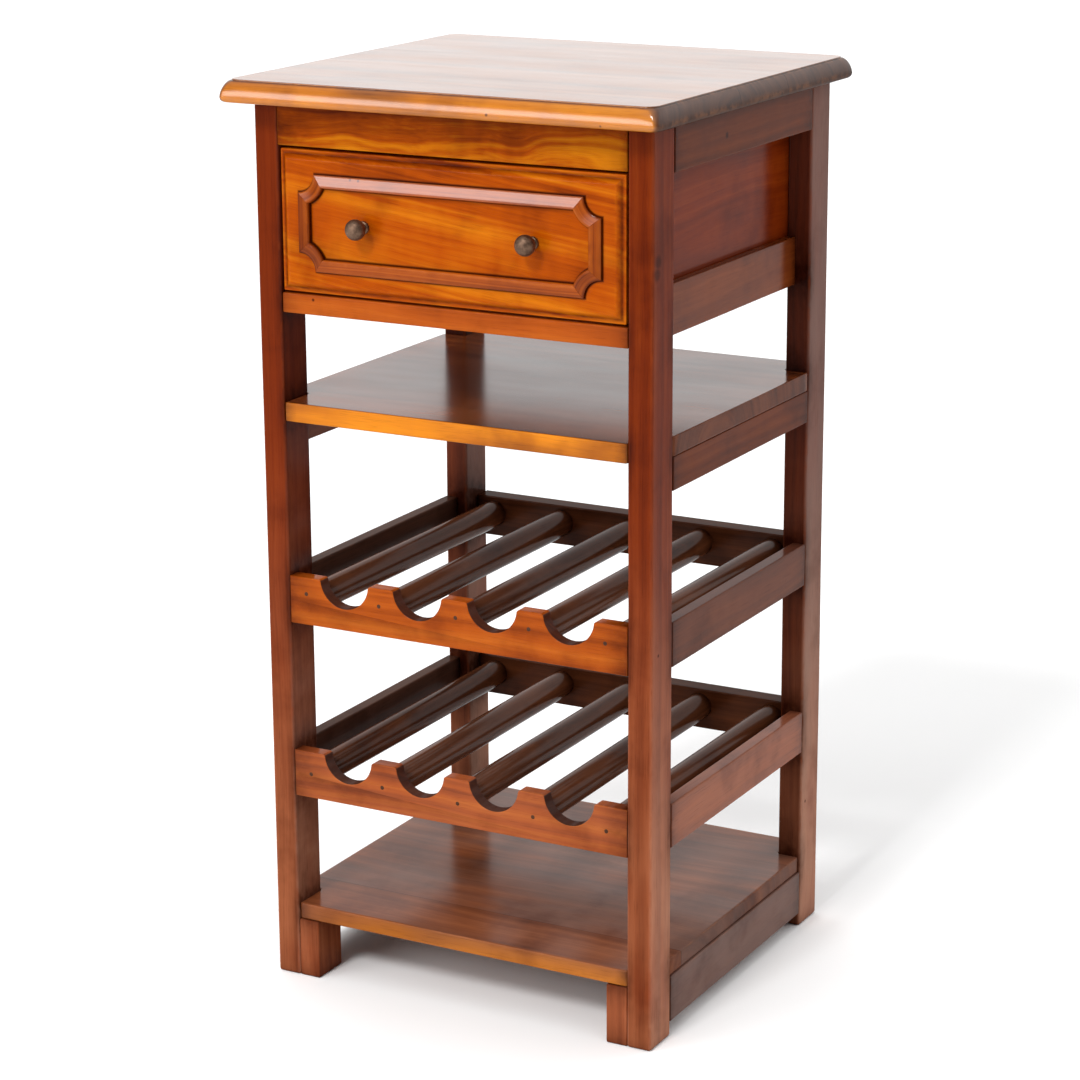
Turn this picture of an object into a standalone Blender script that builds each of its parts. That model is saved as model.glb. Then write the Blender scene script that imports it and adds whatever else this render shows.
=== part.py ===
"""Wine table: a tall side table of varnished wood on four posts.

A moulded top covers a case with one drawer. Below it are a shelf, two racks of round bars that
bottles lie on, and a bottom shelf near the floor. X runs to the right, Y to the back and Z up.
The origin is on the floor under the middle of the top.
"""

from math import asin, atan2, cos, pi, radians, sin, sqrt

import bmesh
import bpy
from mathutils import Vector

MM = 0.001

# Fits
CLEAR = 0.3 * MM  # between pieces that touch
DRAWER_SIDE_GAP = 1.0 * MM  # drawer box to side panel
DRAWER_END_GAP = 2.4 * MM  # drawer front to post
DRAWER_TOP_GAP = 3.0 * MM  # drawer front to the rail above
DRAWER_FOOT_GAP = 2.5 * MM  # drawer front to the rail below
STOP_GAP = 0.5 * MM  # closed drawer front to the panel ends that stop it
CUT = 1.0 * MM  # how far a cutter runs past a face

# Posts and the frame they make
FRAME_W = 426.0 * MM
FRAME_D = 397.0 * MM
POST_W = 25.6 * MM
POST_D = 44.0 * MM
EASE = 1.0 * MM  # chamfer on the arrises of a board
POST_EASE = 2.0 * MM  # and of a post

# Top
TOP_UNDER = 894.5 * MM  # height of its underside
TOP_T = 22.0 * MM
OVER_FRONT = 31.5 * MM
OVER_SIDE = 19.5 * MM
OVER_BACK = 11.5 * MM
EDGE_OUT = 7.2 * MM  # nose of the moulded edge past the upper arris
EDGE_STEP = 1.5 * MM
EDGE_LEDGE = 0.8 * MM
NOSE_DROP = 17.0 * MM
NOSE_ROUND = 3.5 * MM
EDGE_STEPS = 6
CORNER_TOP_R = 11.0 * MM  # corner of the flat face, worn rounder than the nose below it
CORNER_NOSE_R = 4.5 * MM
CORNER_SIDES = 5

# Rails of the drawer case, stacked down from the top
RAIL_T = 22.0 * MM
SIDE_RAIL_T = 14.0 * MM
TOP_RAIL_H = 41.5 * MM
TOP_SIDE_RAIL_H = 46.7 * MM
DRAWER_OPENING_H = 143.0 * MM
DRAWER_RAIL_T = 19.5 * MM
DRAWER_RAIL_D = 38.5 * MM
DRAWER_RAIL_INSET = 1.5 * MM  # behind the fronts of the posts
LOW_RAIL_H = 49.0 * MM
LOW_RAIL_INSET = 15.8 * MM  # outer face behind the post's outer face
PANEL_T = 8.0 * MM
BACK_T = 12.0 * MM
BACK_INSET = 10.0 * MM
RUNNER_W = 30.0 * MM

# Tenons
TENON = 16.0 * MM  # length on a rail that runs across
SIDE_TENON = 12.0 * MM  # length on a rail that runs front to back
TONGUE = 6.0 * MM
TENON_T = 8.0 * MM
SHOULDER = 6.0 * MM
THIN_SHOULDER = 4.0 * MM  # on the thin front rails of the racks
TENON_EASE = 0.5 * MM

# Drawer
FRONT_T = 20.0 * MM
FRONT_RECESS = 2.0 * MM  # margin of the drawer front behind the posts
FIELD_RISE = 4.0 * MM
FIELD_MARGIN = 4.0 * MM
FIELD_SLOPE = 4.5 * MM
DRAWER_BOARD_T = 12.0 * MM
DRAWER_SIDE_DROP = 11.5 * MM  # side's top edge below the front's
DRAWER_BACK_SPACE = 18.0 * MM  # behind the closed drawer
DRAWER_TAIL = 4.0 * MM  # sides past the drawer's back
HOUSING = 10.0 * MM  # how far the sides go into the front
BACK_HOUSING = 5.0 * MM
BOTTOM_T = 6.0 * MM
BOTTOM_LIFT = 12.0 * MM
GROOVE = 4.0 * MM
FRONT_GROOVE = 6.0 * MM

# Applied moulding on the drawer front
MOULD_SIDE = 22.5 * MM  # its outer edge from the end of the drawer front
MOULD_TOP = 22.0 * MM  # and from the top and bottom of the drawer front
MOULD_W = 12.5 * MM
MOULD_LOW = 1.6 * MM
MOULD_HIGH = 5.2 * MM
CORNER_R = 18.0 * MM  # hollow corner, measured on the outer edge
CORNER_STEPS = 8

# Knobs
KNOB_X = 91.0 * MM
KNOB_R = 10.3 * MM
KNOB_LEN = 24.0 * MM
KNOB_STEM_R = 4.6 * MM
KNOB_COLLAR_R = 6.2 * MM
KNOB_BORE = 12.0 * MM
SCREW_R = 2.0 * MM
SCREW_HEAD_R = 4.6 * MM
SCREW_HEAD_T = 2.6 * MM
SCREW_BITE = 10.0 * MM  # length inside the knob
TURNED = 32  # sides on a turned piece

# Middle shelf, below the drawer case
SHELF_DROP = 89.0 * MM  # from the drawer rail down to the shelf
SHELF_T = 19.0 * MM
BEARER_H = 32.7 * MM

# Racks, up from the floor
RACK_Z = 195.0 * MM  # underside of the lower rack
RACK_STEP = 182.0 * MM  # from one rack to the next
RACK_FRONT_H = 48.5 * MM
RACK_FRONT_T = 15.0 * MM
RACK_FRONT_INSET = 1.0 * MM  # behind the fronts of the posts
RACK_REAR_H = 43.5 * MM
RACK_SIDE_H = 44.5 * MM
BAR_R = 14.5 * MM
BAR_Z = 24.5 * MM  # bar's centre above the rack's underside
BAR_END = 21.4 * MM  # outer bar's centre from the post
BARS = 5
SOCKET = 8.0 * MM
SCALLOP_R = 27.1 * MM
SCALLOP_FLOOR = 22.0 * MM  # lowest point of a scallop above the rack's underside
SCALLOP_STEPS = 14
HUMP_R = 3.0 * MM  # rounded shoulders of the humps between scallops
HUMP_STEPS = 3

# Bottom shelf and feet
BASE_T = 16.5 * MM
BASE_UNDER = 61.5 * MM
BASE_FRONT_INSET = 2.5 * MM
BASE_SIDE_INSET = 2.0 * MM
BASE_RAIL_FOOT = 14.3 * MM  # floor to the underside of its side bearers
BLOCK_W = 22.5 * MM
BLOCK_INSET = 1.0 * MM

# Positions that follow from the sizes above
OUT_X = FRAME_W / 2
IN_X = OUT_X - POST_W
TOP_FRONT = -(FRAME_D + OVER_FRONT + OVER_BACK) / 2
FRONT = TOP_FRONT + OVER_FRONT
BACK = FRONT + FRAME_D
MID_Y = (FRONT + BACK) / 2
FRONT_POST_BACK = FRONT + POST_D
DRAWER_RAIL_BACK = FRONT + DRAWER_RAIL_INSET + DRAWER_RAIL_D
RACK_FACE = FRONT + RACK_FRONT_INSET
RACK_FRONT_BACK = RACK_FACE + RACK_FRONT_T
REAR_POST_FRONT = BACK - POST_D
HEAD = TOP_UNDER - CLEAR  # top of the posts and of what meets the top
OPENING_TOP = TOP_UNDER - TOP_RAIL_H
OPENING_FOOT = OPENING_TOP - DRAWER_OPENING_H
CASE_FOOT = OPENING_FOOT - DRAWER_RAIL_T
SHELF_TOP = CASE_FOOT - SHELF_DROP
PANEL_X = IN_X - CLEAR - PANEL_T
DRAWER_X = PANEL_X - DRAWER_SIDE_GAP
DRAWER_IN_X = DRAWER_X - DRAWER_BOARD_T
MARGIN_Y = FRONT + FRONT_RECESS
FIELD_Y = MARGIN_Y - FIELD_RISE
FRONT_BACK_Y = MARGIN_Y + FRONT_T
CASE_BACK_Y = BACK - BACK_INSET - BACK_T
DRAWER_END_Y = CASE_BACK_Y - DRAWER_BACK_SPACE
DRAWER_FOOT = OPENING_FOOT + DRAWER_FOOT_GAP
DRAWER_HEAD = OPENING_TOP - DRAWER_TOP_GAP
SIDE_HEAD = DRAWER_HEAD - DRAWER_SIDE_DROP
BOTTOM_Z = OPENING_FOOT + BOTTOM_LIFT
FRONT_HALF = IN_X - DRAWER_END_GAP
KNOB_Z = (DRAWER_FOOT + DRAWER_HEAD) / 2
BAR_PITCH = 2 * (IN_X - BAR_END) / (BARS - 1)

# Colours and finishes
ORANGE = (0.46, 0.19, 0.06)
BROWN = (0.30, 0.11, 0.05)
RED = (0.36, 0.13, 0.05)
PALE = (0.55, 0.38, 0.20)
BRONZE = (0.10, 0.08, 0.07)
STEEL = (0.55, 0.55, 0.56)

for stale in list(bpy.data.objects):
    bpy.data.objects.remove(stale)

mortises = {}


def paint(thing, colour, roughness, metallic):
    """Give a piece a Principled material of its own."""
    finish = bpy.data.materials.new(thing.name)
    finish.use_nodes = True
    shader = finish.node_tree.nodes["Principled BSDF"]
    shader.inputs["Base Color"].default_value = (*colour, 1.0)
    shader.inputs["Roughness"].default_value = roughness
    shader.inputs["Metallic"].default_value = metallic
    thing.data.materials.append(finish)


def place(name, shape, colour, parent=None, roughness=0.3, metallic=0.0):
    """Turn a shape into an object whose origin is the middle of its box."""
    bmesh.ops.recalc_face_normals(shape, faces=shape.faces)
    low = Vector([min(v.co[i] for v in shape.verts) for i in range(3)])
    high = Vector([max(v.co[i] for v in shape.verts) for i in range(3)])
    middle = (low + high) / 2
    bmesh.ops.translate(shape, verts=shape.verts, vec=-middle)
    mesh = bpy.data.meshes.new(name)
    shape.to_mesh(mesh)
    shape.free()
    thing = bpy.data.objects.new(name, mesh)
    bpy.context.scene.collection.objects.link(thing)
    thing.location = middle
    if parent:
        thing.parent = parent
        thing.location = middle - parent.location
    paint(thing, colour, roughness, metallic)
    return thing


def loft(rings, shape=None):
    """Join rings of points, in order, into one closed skin with flat ends."""
    shape = shape or bmesh.new()
    rows = [[shape.verts.new(point) for point in ring] for ring in rings]
    count = len(rows[0])
    for near, far in zip(rows, rows[1:]):
        for i in range(count):
            j = (i + 1) % count
            shape.faces.new((near[i], near[j], far[j], far[i]))
    shape.faces.new(rows[0][::-1])
    shape.faces.new(rows[-1])
    return shape


def spot(axis, along, a, b):
    """Point at a distance along one axis and at a, b on the other two in XYZ order."""
    point = [a, b]
    point.insert(axis, along)
    return tuple(point)


def section(axis, along, low, high, ease):
    """Rectangle across an axis, with its four corners cut at 45 degrees."""
    (a0, b0), (a1, b1) = low, high
    corners = (
        (a0 + ease, b0),
        (a1 - ease, b0),
        (a1, b0 + ease),
        (a1, b1 - ease),
        (a1 - ease, b1),
        (a0 + ease, b1),
        (a0, b1 - ease),
        (a0, b0 + ease),
    )
    return [spot(axis, along, a, b) for a, b in corners]


def across(axis, point, inset=(0.0, 0.0), sign=1):
    """The two coordinates of a point across an axis, moved in by the insets."""
    a, b = [point[i] for i in range(3) if i != axis]
    return a + sign * inset[0], b + sign * inset[1]


def board(name, axis, low, high, colour, parent=None, ease=EASE):
    """Board that runs along an axis, with every arris eased."""
    pair = (across(axis, low), across(axis, high))
    small = (across(axis, low, (ease, ease)), across(axis, high, (ease, ease), -1))
    rings = [
        section(axis, low[axis], *small, ease),
        section(axis, low[axis] + ease, *pair, ease),
        section(axis, high[axis] - ease, *pair, ease),
        section(axis, high[axis], *small, ease),
    ]
    return place(name, loft(rings), colour, parent)


def note_mortise(axis, low, high, outward):
    """Keep the hole that a tenon needs, for the post that it enters."""
    low = [value - CLEAR for value in low]
    high = [value + CLEAR for value in high]
    if outward > 0:
        low[axis] -= CUT
    else:
        high[axis] += CUT
    middle = [(a + b) / 2 for a, b in zip(low, high)]
    side = "left" if middle[0] < 0 else "right"
    end = "front" if middle[1] < MID_Y else "rear"
    mortises.setdefault((end, side), []).append((low, high))


def note_tenons(axis, low, high, length, inset):
    """Note the mortises of both ends of a rail whose body has these corners."""
    a0, b0 = across(axis, low, inset)
    a1, b1 = across(axis, high, inset, -1)
    tip, tail = low[axis] - length, high[axis] + length
    note_mortise(axis, spot(axis, tip, a0, b0), spot(axis, low[axis], a1, b1), -1)
    note_mortise(axis, spot(axis, high[axis], a0, b0), spot(axis, tail, a1, b1), 1)


def rail(name, axis, low, high, colour, length, inset):
    """Rail between two posts, with a tenon inset from its faces at each end."""
    body = (across(axis, low), across(axis, high))
    tenon = (across(axis, low, inset), across(axis, high, inset, -1))
    rings = [
        section(axis, low[axis] - length, *tenon, TENON_EASE),
        section(axis, low[axis], *tenon, TENON_EASE),
        section(axis, low[axis], *body, EASE),
        section(axis, high[axis], *body, EASE),
        section(axis, high[axis], *tenon, TENON_EASE),
        section(axis, high[axis] + length, *tenon, TENON_EASE),
    ]
    note_tenons(axis, low, high, length, inset)
    return place(name, loft(rings), colour)


def cross_rail(name, y, z, colour, length=TENON, inset=None):
    """Rail that runs across between two posts, from y and z pairs."""
    low = (-IN_X + CLEAR, y[0], z[0])
    high = (IN_X - CLEAR, y[1], z[1])
    inset = inset or ((y[1] - y[0] - TENON_T) / 2, SHOULDER)
    return rail(name, 0, low, high, colour, length, inset)


def side_rails(name, x, z, colour, inset=None):
    """Pair of rails that run front to back, from the right one's x pair and a z pair."""
    y = (FRONT_POST_BACK + CLEAR, REAR_POST_FRONT - CLEAR)
    inset = inset or ((x[1] - x[0]) / 4, SHOULDER)
    rail(f"{name}_right", 1, (x[0], y[0], z[0]), (x[1], y[1], z[1]), colour, SIDE_TENON, inset)
    rail(f"{name}_left", 1, (-x[1], y[0], z[0]), (-x[0], y[1], z[1]), colour, SIDE_TENON, inset)


def box_into(shape, low, high):
    """Add a plain box to a shape."""
    ends = []
    for z in (low[2], high[2]):
        ring = [(low[0], low[1], z), (high[0], low[1], z), (high[0], high[1], z), (low[0], high[1], z)]
        ends.append(ring)
    loft(ends, shape)


def turned(profile, x, z, shape=None):
    """Turn a profile of (radius, y) about an axis that runs along Y."""
    angles = [2 * pi * i / TURNED for i in range(TURNED)]
    rings = [[(x + r * cos(t), y, z + r * sin(t)) for t in angles] for r, y in profile]
    return loft(rings, shape)


def smooth(thing, limit=40):
    """Shade a round piece smooth and keep its sharp arrises."""
    thing.data.shade_smooth()
    thing.data.set_sharp_from_angle(angle=radians(limit))


def cut(thing, shape, name):
    """Take a shape, given in the table's own frame, out of a piece."""
    bmesh.ops.recalc_face_normals(shape, faces=shape.faces)
    mesh = bpy.data.meshes.new(name)
    shape.to_mesh(mesh)
    shape.free()
    cutter = bpy.data.objects.new(name, mesh)
    bpy.context.scene.collection.objects.link(cutter)
    cutter.hide_render = True
    cutter.display_type = "WIRE"
    step = thing.modifiers.new(name, "BOOLEAN")
    step.operation = "DIFFERENCE"
    step.solver = "EXACT"
    step.object = cutter


def rounded(half, front, back, radius, z):
    """Rectangle seen from above, with its corners rounded."""
    ring = []
    corners = ((half, back, 0.0), (-half, back, pi / 2), (-half, front, pi), (half, front, 3 * pi / 2))
    for x, y, first in corners:
        middle_x = x - radius if x > 0 else x + radius
        middle_y = y - radius if y > 0 else y + radius
        for i in range(CORNER_SIDES + 1):
            turn = first + pi / 2 * i / CORNER_SIDES
            ring.append((middle_x + radius * cos(turn), middle_y + radius * sin(turn), z))
    return ring


def make_top():
    """Top panel: one outline for each point of the moulded edge, from the underside up."""
    edge = []
    for i in range(EDGE_STEPS + 1):
        turn = pi / 2 * i / EDGE_STEPS
        out = EDGE_OUT - NOSE_ROUND * (1 - sin(turn))
        edge.append((out, TOP_T - (TOP_T - NOSE_DROP) * (1 - cos(turn))))
    for i in range(1, EDGE_STEPS + 1):
        turn = pi / 2 * i / EDGE_STEPS
        out = EDGE_LEDGE + (EDGE_OUT - EDGE_LEDGE) * cos(turn)
        edge.append((out, NOSE_DROP - (NOSE_DROP - EDGE_STEP) * sin(turn)))
    edge.append((0.0, EDGE_STEP))
    edge.append((0.0, 0.0))
    half = OUT_X + OVER_SIDE - EDGE_OUT
    front = TOP_FRONT + EDGE_OUT
    back = BACK + OVER_BACK - EDGE_OUT
    rings = []
    for out, drop in edge:
        radius = CORNER_TOP_R + (CORNER_NOSE_R - CORNER_TOP_R) * out / EDGE_OUT
        rings.append(rounded(half + out, front - out, back + out, radius, TOP_UNDER + TOP_T - drop))
    smooth(place("top", loft(rings), ORANGE))


def make_case():
    """Rails, panels and runners round the drawer."""
    front_rail = (FRONT, FRONT + RAIL_T)
    rear_rail = (BACK - RAIL_T, BACK)
    cross_rail("rail_top_front", front_rail, (OPENING_TOP, HEAD), ORANGE)
    cross_rail("rail_top_rear", rear_rail, (OPENING_TOP, HEAD), BROWN)
    side_rails("rail_top", (IN_X, OUT_X), (TOP_UNDER - TOP_SIDE_RAIL_H, HEAD), BROWN)
    flat = (FRONT + DRAWER_RAIL_INSET, DRAWER_RAIL_BACK)
    inset = (SHOULDER * 2, (DRAWER_RAIL_T - TENON_T) / 2)
    cross_rail("drawer_rail", flat, (CASE_FOOT, OPENING_FOOT), ORANGE, TENON, inset)
    low_x = (IN_X, OUT_X - LOW_RAIL_INSET)
    side_rails("rail_low", low_x, (CASE_FOOT, CASE_FOOT + LOW_RAIL_H), BROWN)
    back_y = (CASE_BACK_Y, CASE_BACK_Y + BACK_T)
    inset = ((BACK_T - TONGUE) / 2, SHOULDER)
    cross_rail("back_panel", back_y, (CASE_FOOT, OPENING_TOP - CLEAR), BROWN, TONGUE, inset)
    for side, sign in (("right", 1), ("left", -1)):
        outer = IN_X - CLEAR
        x = sorted((sign * (outer - RUNNER_W), sign * outer))
        low = (x[0], DRAWER_RAIL_BACK + CLEAR, CASE_FOOT)
        high = (x[1], CASE_BACK_Y - CLEAR, OPENING_FOOT)
        board(f"runner_{side}", 1, low, high, PALE)
        x = sorted((sign * PANEL_X, sign * outer))
        low = (x[0], FRONT_BACK_Y + STOP_GAP, OPENING_FOOT + CLEAR)
        high = (x[1], CASE_BACK_Y - CLEAR, HEAD)
        board(f"side_panel_{side}", 1, low, high, RED)


def make_drawer():
    """Drawer: a front with a raised field, two sides, a back and a bottom in grooves."""
    slide = bpy.data.objects.new("drawer_slide", None)
    slide.location = (0.0, FRONT, OPENING_FOOT)
    bpy.context.scene.collection.objects.link(slide)

    rings = []
    field_inset = FIELD_MARGIN + FIELD_SLOPE
    levels = ((0.0, FRONT_BACK_Y), (0.0, MARGIN_Y), (FIELD_MARGIN, MARGIN_Y), (field_inset, FIELD_Y))
    for inset, y in levels:
        half = FRONT_HALF - inset
        foot, head = DRAWER_FOOT + inset, DRAWER_HEAD - inset
        rings.append([(-half, y, foot), (half, y, foot), (half, y, head), (-half, y, head)])
    front = place("drawer_front", loft(rings), ORANGE, slide)

    side_foot = OPENING_FOOT + CLEAR
    side_front = FRONT_BACK_Y - HOUSING
    holes = bmesh.new()
    for sign in (-1, 1):
        x = sorted((sign * (DRAWER_IN_X - CLEAR), sign * (DRAWER_X + CLEAR)))
        low = (x[0], side_front - CLEAR, side_foot - CUT)
        high = (x[1], FRONT_BACK_Y + CUT, SIDE_HEAD + CLEAR)
        box_into(holes, low, high)
        span = [(SCREW_R + CLEAR, FIELD_Y - CUT), (SCREW_R + CLEAR, FRONT_BACK_Y + CUT)]
        turned(span, sign * KNOB_X, KNOB_Z, holes)
    cut(front, holes, "cut_front_housings")
    groove = bmesh.new()
    groove_z = (BOTTOM_Z - CLEAR, BOTTOM_Z + BOTTOM_T + CLEAR)
    groove_x = DRAWER_IN_X + GROOVE
    low = (-groove_x, FRONT_BACK_Y - FRONT_GROOVE, groove_z[0])
    high = (groove_x, FRONT_BACK_Y + CUT, groove_z[1])
    box_into(groove, low, high)
    cut(front, groove, "cut_front_groove")

    back_y = (DRAWER_END_Y - DRAWER_TAIL - DRAWER_BOARD_T, DRAWER_END_Y - DRAWER_TAIL)
    for side, sign in (("right", 1), ("left", -1)):
        x = sorted((sign * DRAWER_IN_X, sign * DRAWER_X))
        low = (x[0], side_front, side_foot)
        high = (x[1], DRAWER_END_Y, SIDE_HEAD)
        plank = board(f"drawer_side_{side}", 1, low, high, PALE, slide)
        slot = bmesh.new()
        x = sorted((sign * (DRAWER_IN_X - CUT), sign * (DRAWER_IN_X + GROOVE)))
        low = (x[0], side_front - CUT, groove_z[0])
        high = (x[1], DRAWER_END_Y + CUT, groove_z[1])
        box_into(slot, low, high)
        cut(plank, slot, f"cut_side_groove_{side}")
        dado = bmesh.new()
        x = sorted((sign * (DRAWER_IN_X - CUT), sign * (DRAWER_IN_X + BACK_HOUSING)))
        low = (x[0], back_y[0] - CLEAR, BOTTOM_Z + BOTTOM_T / 2)
        high = (x[1], back_y[1] + CLEAR, SIDE_HEAD + CUT)
        box_into(dado, low, high)
        cut(plank, dado, f"cut_side_dado_{side}")

    half = DRAWER_IN_X + BACK_HOUSING - CLEAR
    low = (-half, back_y[0], BOTTOM_Z + BOTTOM_T + CLEAR)
    high = (half, back_y[1], SIDE_HEAD - DRAWER_TAIL)
    board("drawer_back", 0, low, high, PALE, slide)
    half = DRAWER_IN_X + GROOVE - CLEAR
    low = (-half, FRONT_BACK_Y - FRONT_GROOVE + CLEAR, BOTTOM_Z)
    high = (half, back_y[1], BOTTOM_Z + BOTTOM_T)
    board("drawer_bottom", 0, low, high, PALE, slide)
    make_knobs(slide)
    make_moulding(slide)


def make_knobs(slide):
    """Turned knobs, each with a blind bore for the screw that holds it from inside."""
    base = FIELD_Y - CLEAR
    bore_r = SCREW_R + CLEAR
    head_y = base - KNOB_LEN * 0.36
    middle_y = base - KNOB_LEN * 0.66
    profile = [(bore_r, base - KNOB_BORE), (bore_r, base), (KNOB_COLLAR_R, base)]
    profile.append((KNOB_COLLAR_R, base - KNOB_LEN * 0.08))
    profile.append((KNOB_STEM_R, base - KNOB_LEN * 0.14))
    profile.append((KNOB_STEM_R, head_y))
    steps = 9
    for i in range(1, steps + 1):
        turn = -pi / 2 + pi * i / (steps + 1)
        reach = KNOB_LEN * 0.34 if turn > 0 else middle_y - head_y
        radius = KNOB_R * cos(turn) ** 0.7
        profile.append((max(radius, KNOB_STEM_R * 0.6), middle_y - abs(reach) * sin(turn)))
    screw_tail = FRONT_BACK_Y + CLEAR
    screw = [
        (SCREW_R, base - SCREW_BITE),
        (SCREW_R, screw_tail),
        (SCREW_HEAD_R, screw_tail),
        (SCREW_HEAD_R, screw_tail + SCREW_HEAD_T * 0.4),
        (SCREW_HEAD_R * 0.75, screw_tail + SCREW_HEAD_T * 0.8),
        (SCREW_HEAD_R * 0.35, screw_tail + SCREW_HEAD_T),
    ]
    for side, sign in (("right", 1), ("left", -1)):
        x = sign * KNOB_X
        knob = place(f"knob_{side}", turned(profile, x, KNOB_Z), BRONZE, slide, 0.35, 0.8)
        smooth(knob)
        pin = place(f"knob_screw_{side}", turned(screw, x, KNOB_Z), STEEL, slide, 0.35, 1.0)
        smooth(pin)


def mould_profile():
    """Section of the moulding: distance in from its outer edge, and height off the field."""
    rise = MOULD_HIGH - MOULD_LOW
    return [
        (0.0, 0.0),
        (0.0, MOULD_LOW),
        (MOULD_W * 0.10, MOULD_LOW + rise * 0.20),
        (MOULD_W * 0.35, MOULD_LOW + rise * 0.32),
        (MOULD_W * 0.60, MOULD_LOW + rise * 0.62),
        (MOULD_W * 0.78, MOULD_LOW + rise * 0.93),
        (MOULD_W * 0.90, MOULD_HIGH),
        (MOULD_W, MOULD_HIGH * 0.82),
        (MOULD_W, 0.0),
    ]


def make_moulding(slide):
    """Four straight lengths and four hollow corners, mitred where they meet."""
    half = FRONT_HALF - MOULD_SIDE
    tall = (DRAWER_HEAD - DRAWER_FOOT) / 2 - MOULD_TOP
    seat = FIELD_Y - CLEAR
    profile = mould_profile()
    inner_r = CORNER_R + MOULD_W
    lean = sqrt(inner_r**2 - MOULD_W**2) - CORNER_R  # how far the mitre runs on across the width
    gap = CLEAR / 2

    def straight(name, length, reach, turn):
        rings = []
        for end in (-1, 1):
            ring = []
            for w, h in profile:
                along = end * (length - CORNER_R - lean * w / MOULD_W - gap)
                x, z = along, reach - w
                x, z = x * cos(turn) - z * sin(turn), x * sin(turn) + z * cos(turn)
                ring.append((x, seat - h, KNOB_Z + z))
            rings.append(ring)
        place(name, loft(rings), BROWN, slide)

    straight("moulding_top", half, tall, 0.0)
    straight("moulding_left", tall, half, pi / 2)
    straight("moulding_bottom", half, tall, pi)
    straight("moulding_right", tall, half, -pi / 2)

    def mitre_angle(radius):
        """Angle at which a circle round the corner meets the straight mitre line."""
        a = lean**2 + MOULD_W**2
        b = 2 * CORNER_R * lean
        c = CORNER_R**2 - radius**2
        step = (-b + sqrt(b**2 - 4 * a * c)) / (2 * a)
        return atan2(MOULD_W * step, CORNER_R + lean * step)

    for side, sx in (("right", 1), ("left", -1)):
        for end, sz in (("top", 1), ("bottom", -1)):
            rings = []
            for i in range(CORNER_STEPS + 1):
                ring = []
                for w, h in profile:
                    radius = CORNER_R + w
                    first = mitre_angle(radius) + gap / radius
                    angle = first + (pi / 2 - 2 * first) * i / CORNER_STEPS
                    x = half - radius * cos(angle)
                    z = tall - radius * sin(angle)
                    ring.append((sx * x, seat - h, KNOB_Z + sz * z))
                rings.append(ring)
            corner = place(f"moulding_corner_{end}_{side}", loft(rings), BROWN, slide)
            smooth(corner, 25)


def notched(inset_side, inset_front, ease, z):
    """Outline of a shelf cut away round the four posts, drawn in by an amount all round."""
    x1 = OUT_X - inset_side - ease
    y0 = FRONT + inset_front + ease
    y1 = BACK - ease
    px = IN_X - CLEAR - ease
    py0 = FRONT_POST_BACK + CLEAR + ease
    py1 = REAR_POST_FRONT - CLEAR - ease
    right = [(px, y0), (px, py0), (x1, py0), (x1, py1), (px, py1), (px, y1)]
    left = [(-x, y) for x, y in reversed(right)]
    return [(x, y, z) for x, y in right + left]


def shelf(name, foot, head, inset_side, inset_front):
    """Shelf notched round the posts, with its arrises eased."""
    levels = ((EASE, foot), (0.0, foot + EASE), (0.0, head - EASE), (EASE, head))
    rings = [notched(inset_side, inset_front, ease, z) for ease, z in levels]
    place(name, loft(rings), RED)


def make_shelves():
    """Middle and bottom shelves, their side bearers and the foot blocks."""
    side_x = (OUT_X - SIDE_RAIL_T, OUT_X)
    under = SHELF_TOP - SHELF_T
    shelf("middle_shelf", under, SHELF_TOP, 0.0, 0.0)
    side_rails("middle_bearer", side_x, (under - CLEAR - BEARER_H, under - CLEAR), BROWN)
    shelf("bottom_shelf", BASE_UNDER, BASE_UNDER + BASE_T, BASE_SIDE_INSET, BASE_FRONT_INSET)
    side_rails("bottom_bearer", side_x, (BASE_RAIL_FOOT, BASE_UNDER - CLEAR), BROWN)
    for side, sign in (("right", 1), ("left", -1)):
        outer = IN_X - CLEAR
        x = sorted((sign * (outer - BLOCK_W), sign * outer))
        low = (x[0], FRONT + BLOCK_INSET, 0.0)
        high = (x[1], FRONT_POST_BACK, BASE_UNDER - CLEAR)
        board(f"foot_block_{side}", 2, low, high, ORANGE)


def scalloped(foot):
    """Outline of a rack's front rail: a straight foot and a hollow between each pair of bars."""
    half = IN_X - CLEAR
    head = foot + RACK_FRONT_H
    points = [(-half, foot), (half, foot), (half, head)]
    middle_z = foot + SCALLOP_FLOOR + SCALLOP_R
    start = asin((head - HUMP_R - middle_z) / SCALLOP_R)
    reach = SCALLOP_R * cos(start)
    turns = [pi / 2 * j / HUMP_STEPS for j in range(HUMP_STEPS)]
    right = [(reach + HUMP_R * (1 - sin(turn)), head - HUMP_R * (1 - cos(turn))) for turn in turns]
    for j in range(SCALLOP_STEPS // 2):
        angle = start - (pi / 2 + start) * j / (SCALLOP_STEPS // 2)
        right.append((SCALLOP_R * cos(angle), middle_z + SCALLOP_R * sin(angle)))
    left = [(-x, z) for x, z in reversed(right)]
    hollow = right + [(0.0, foot + SCALLOP_FLOOR)] + left
    for i in range(BARS - 1):
        middle = (BARS / 2 - 1 - i) * BAR_PITCH
        points += [(middle + x, z) for x, z in hollow]
    points.append((-half, head))
    return points


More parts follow.
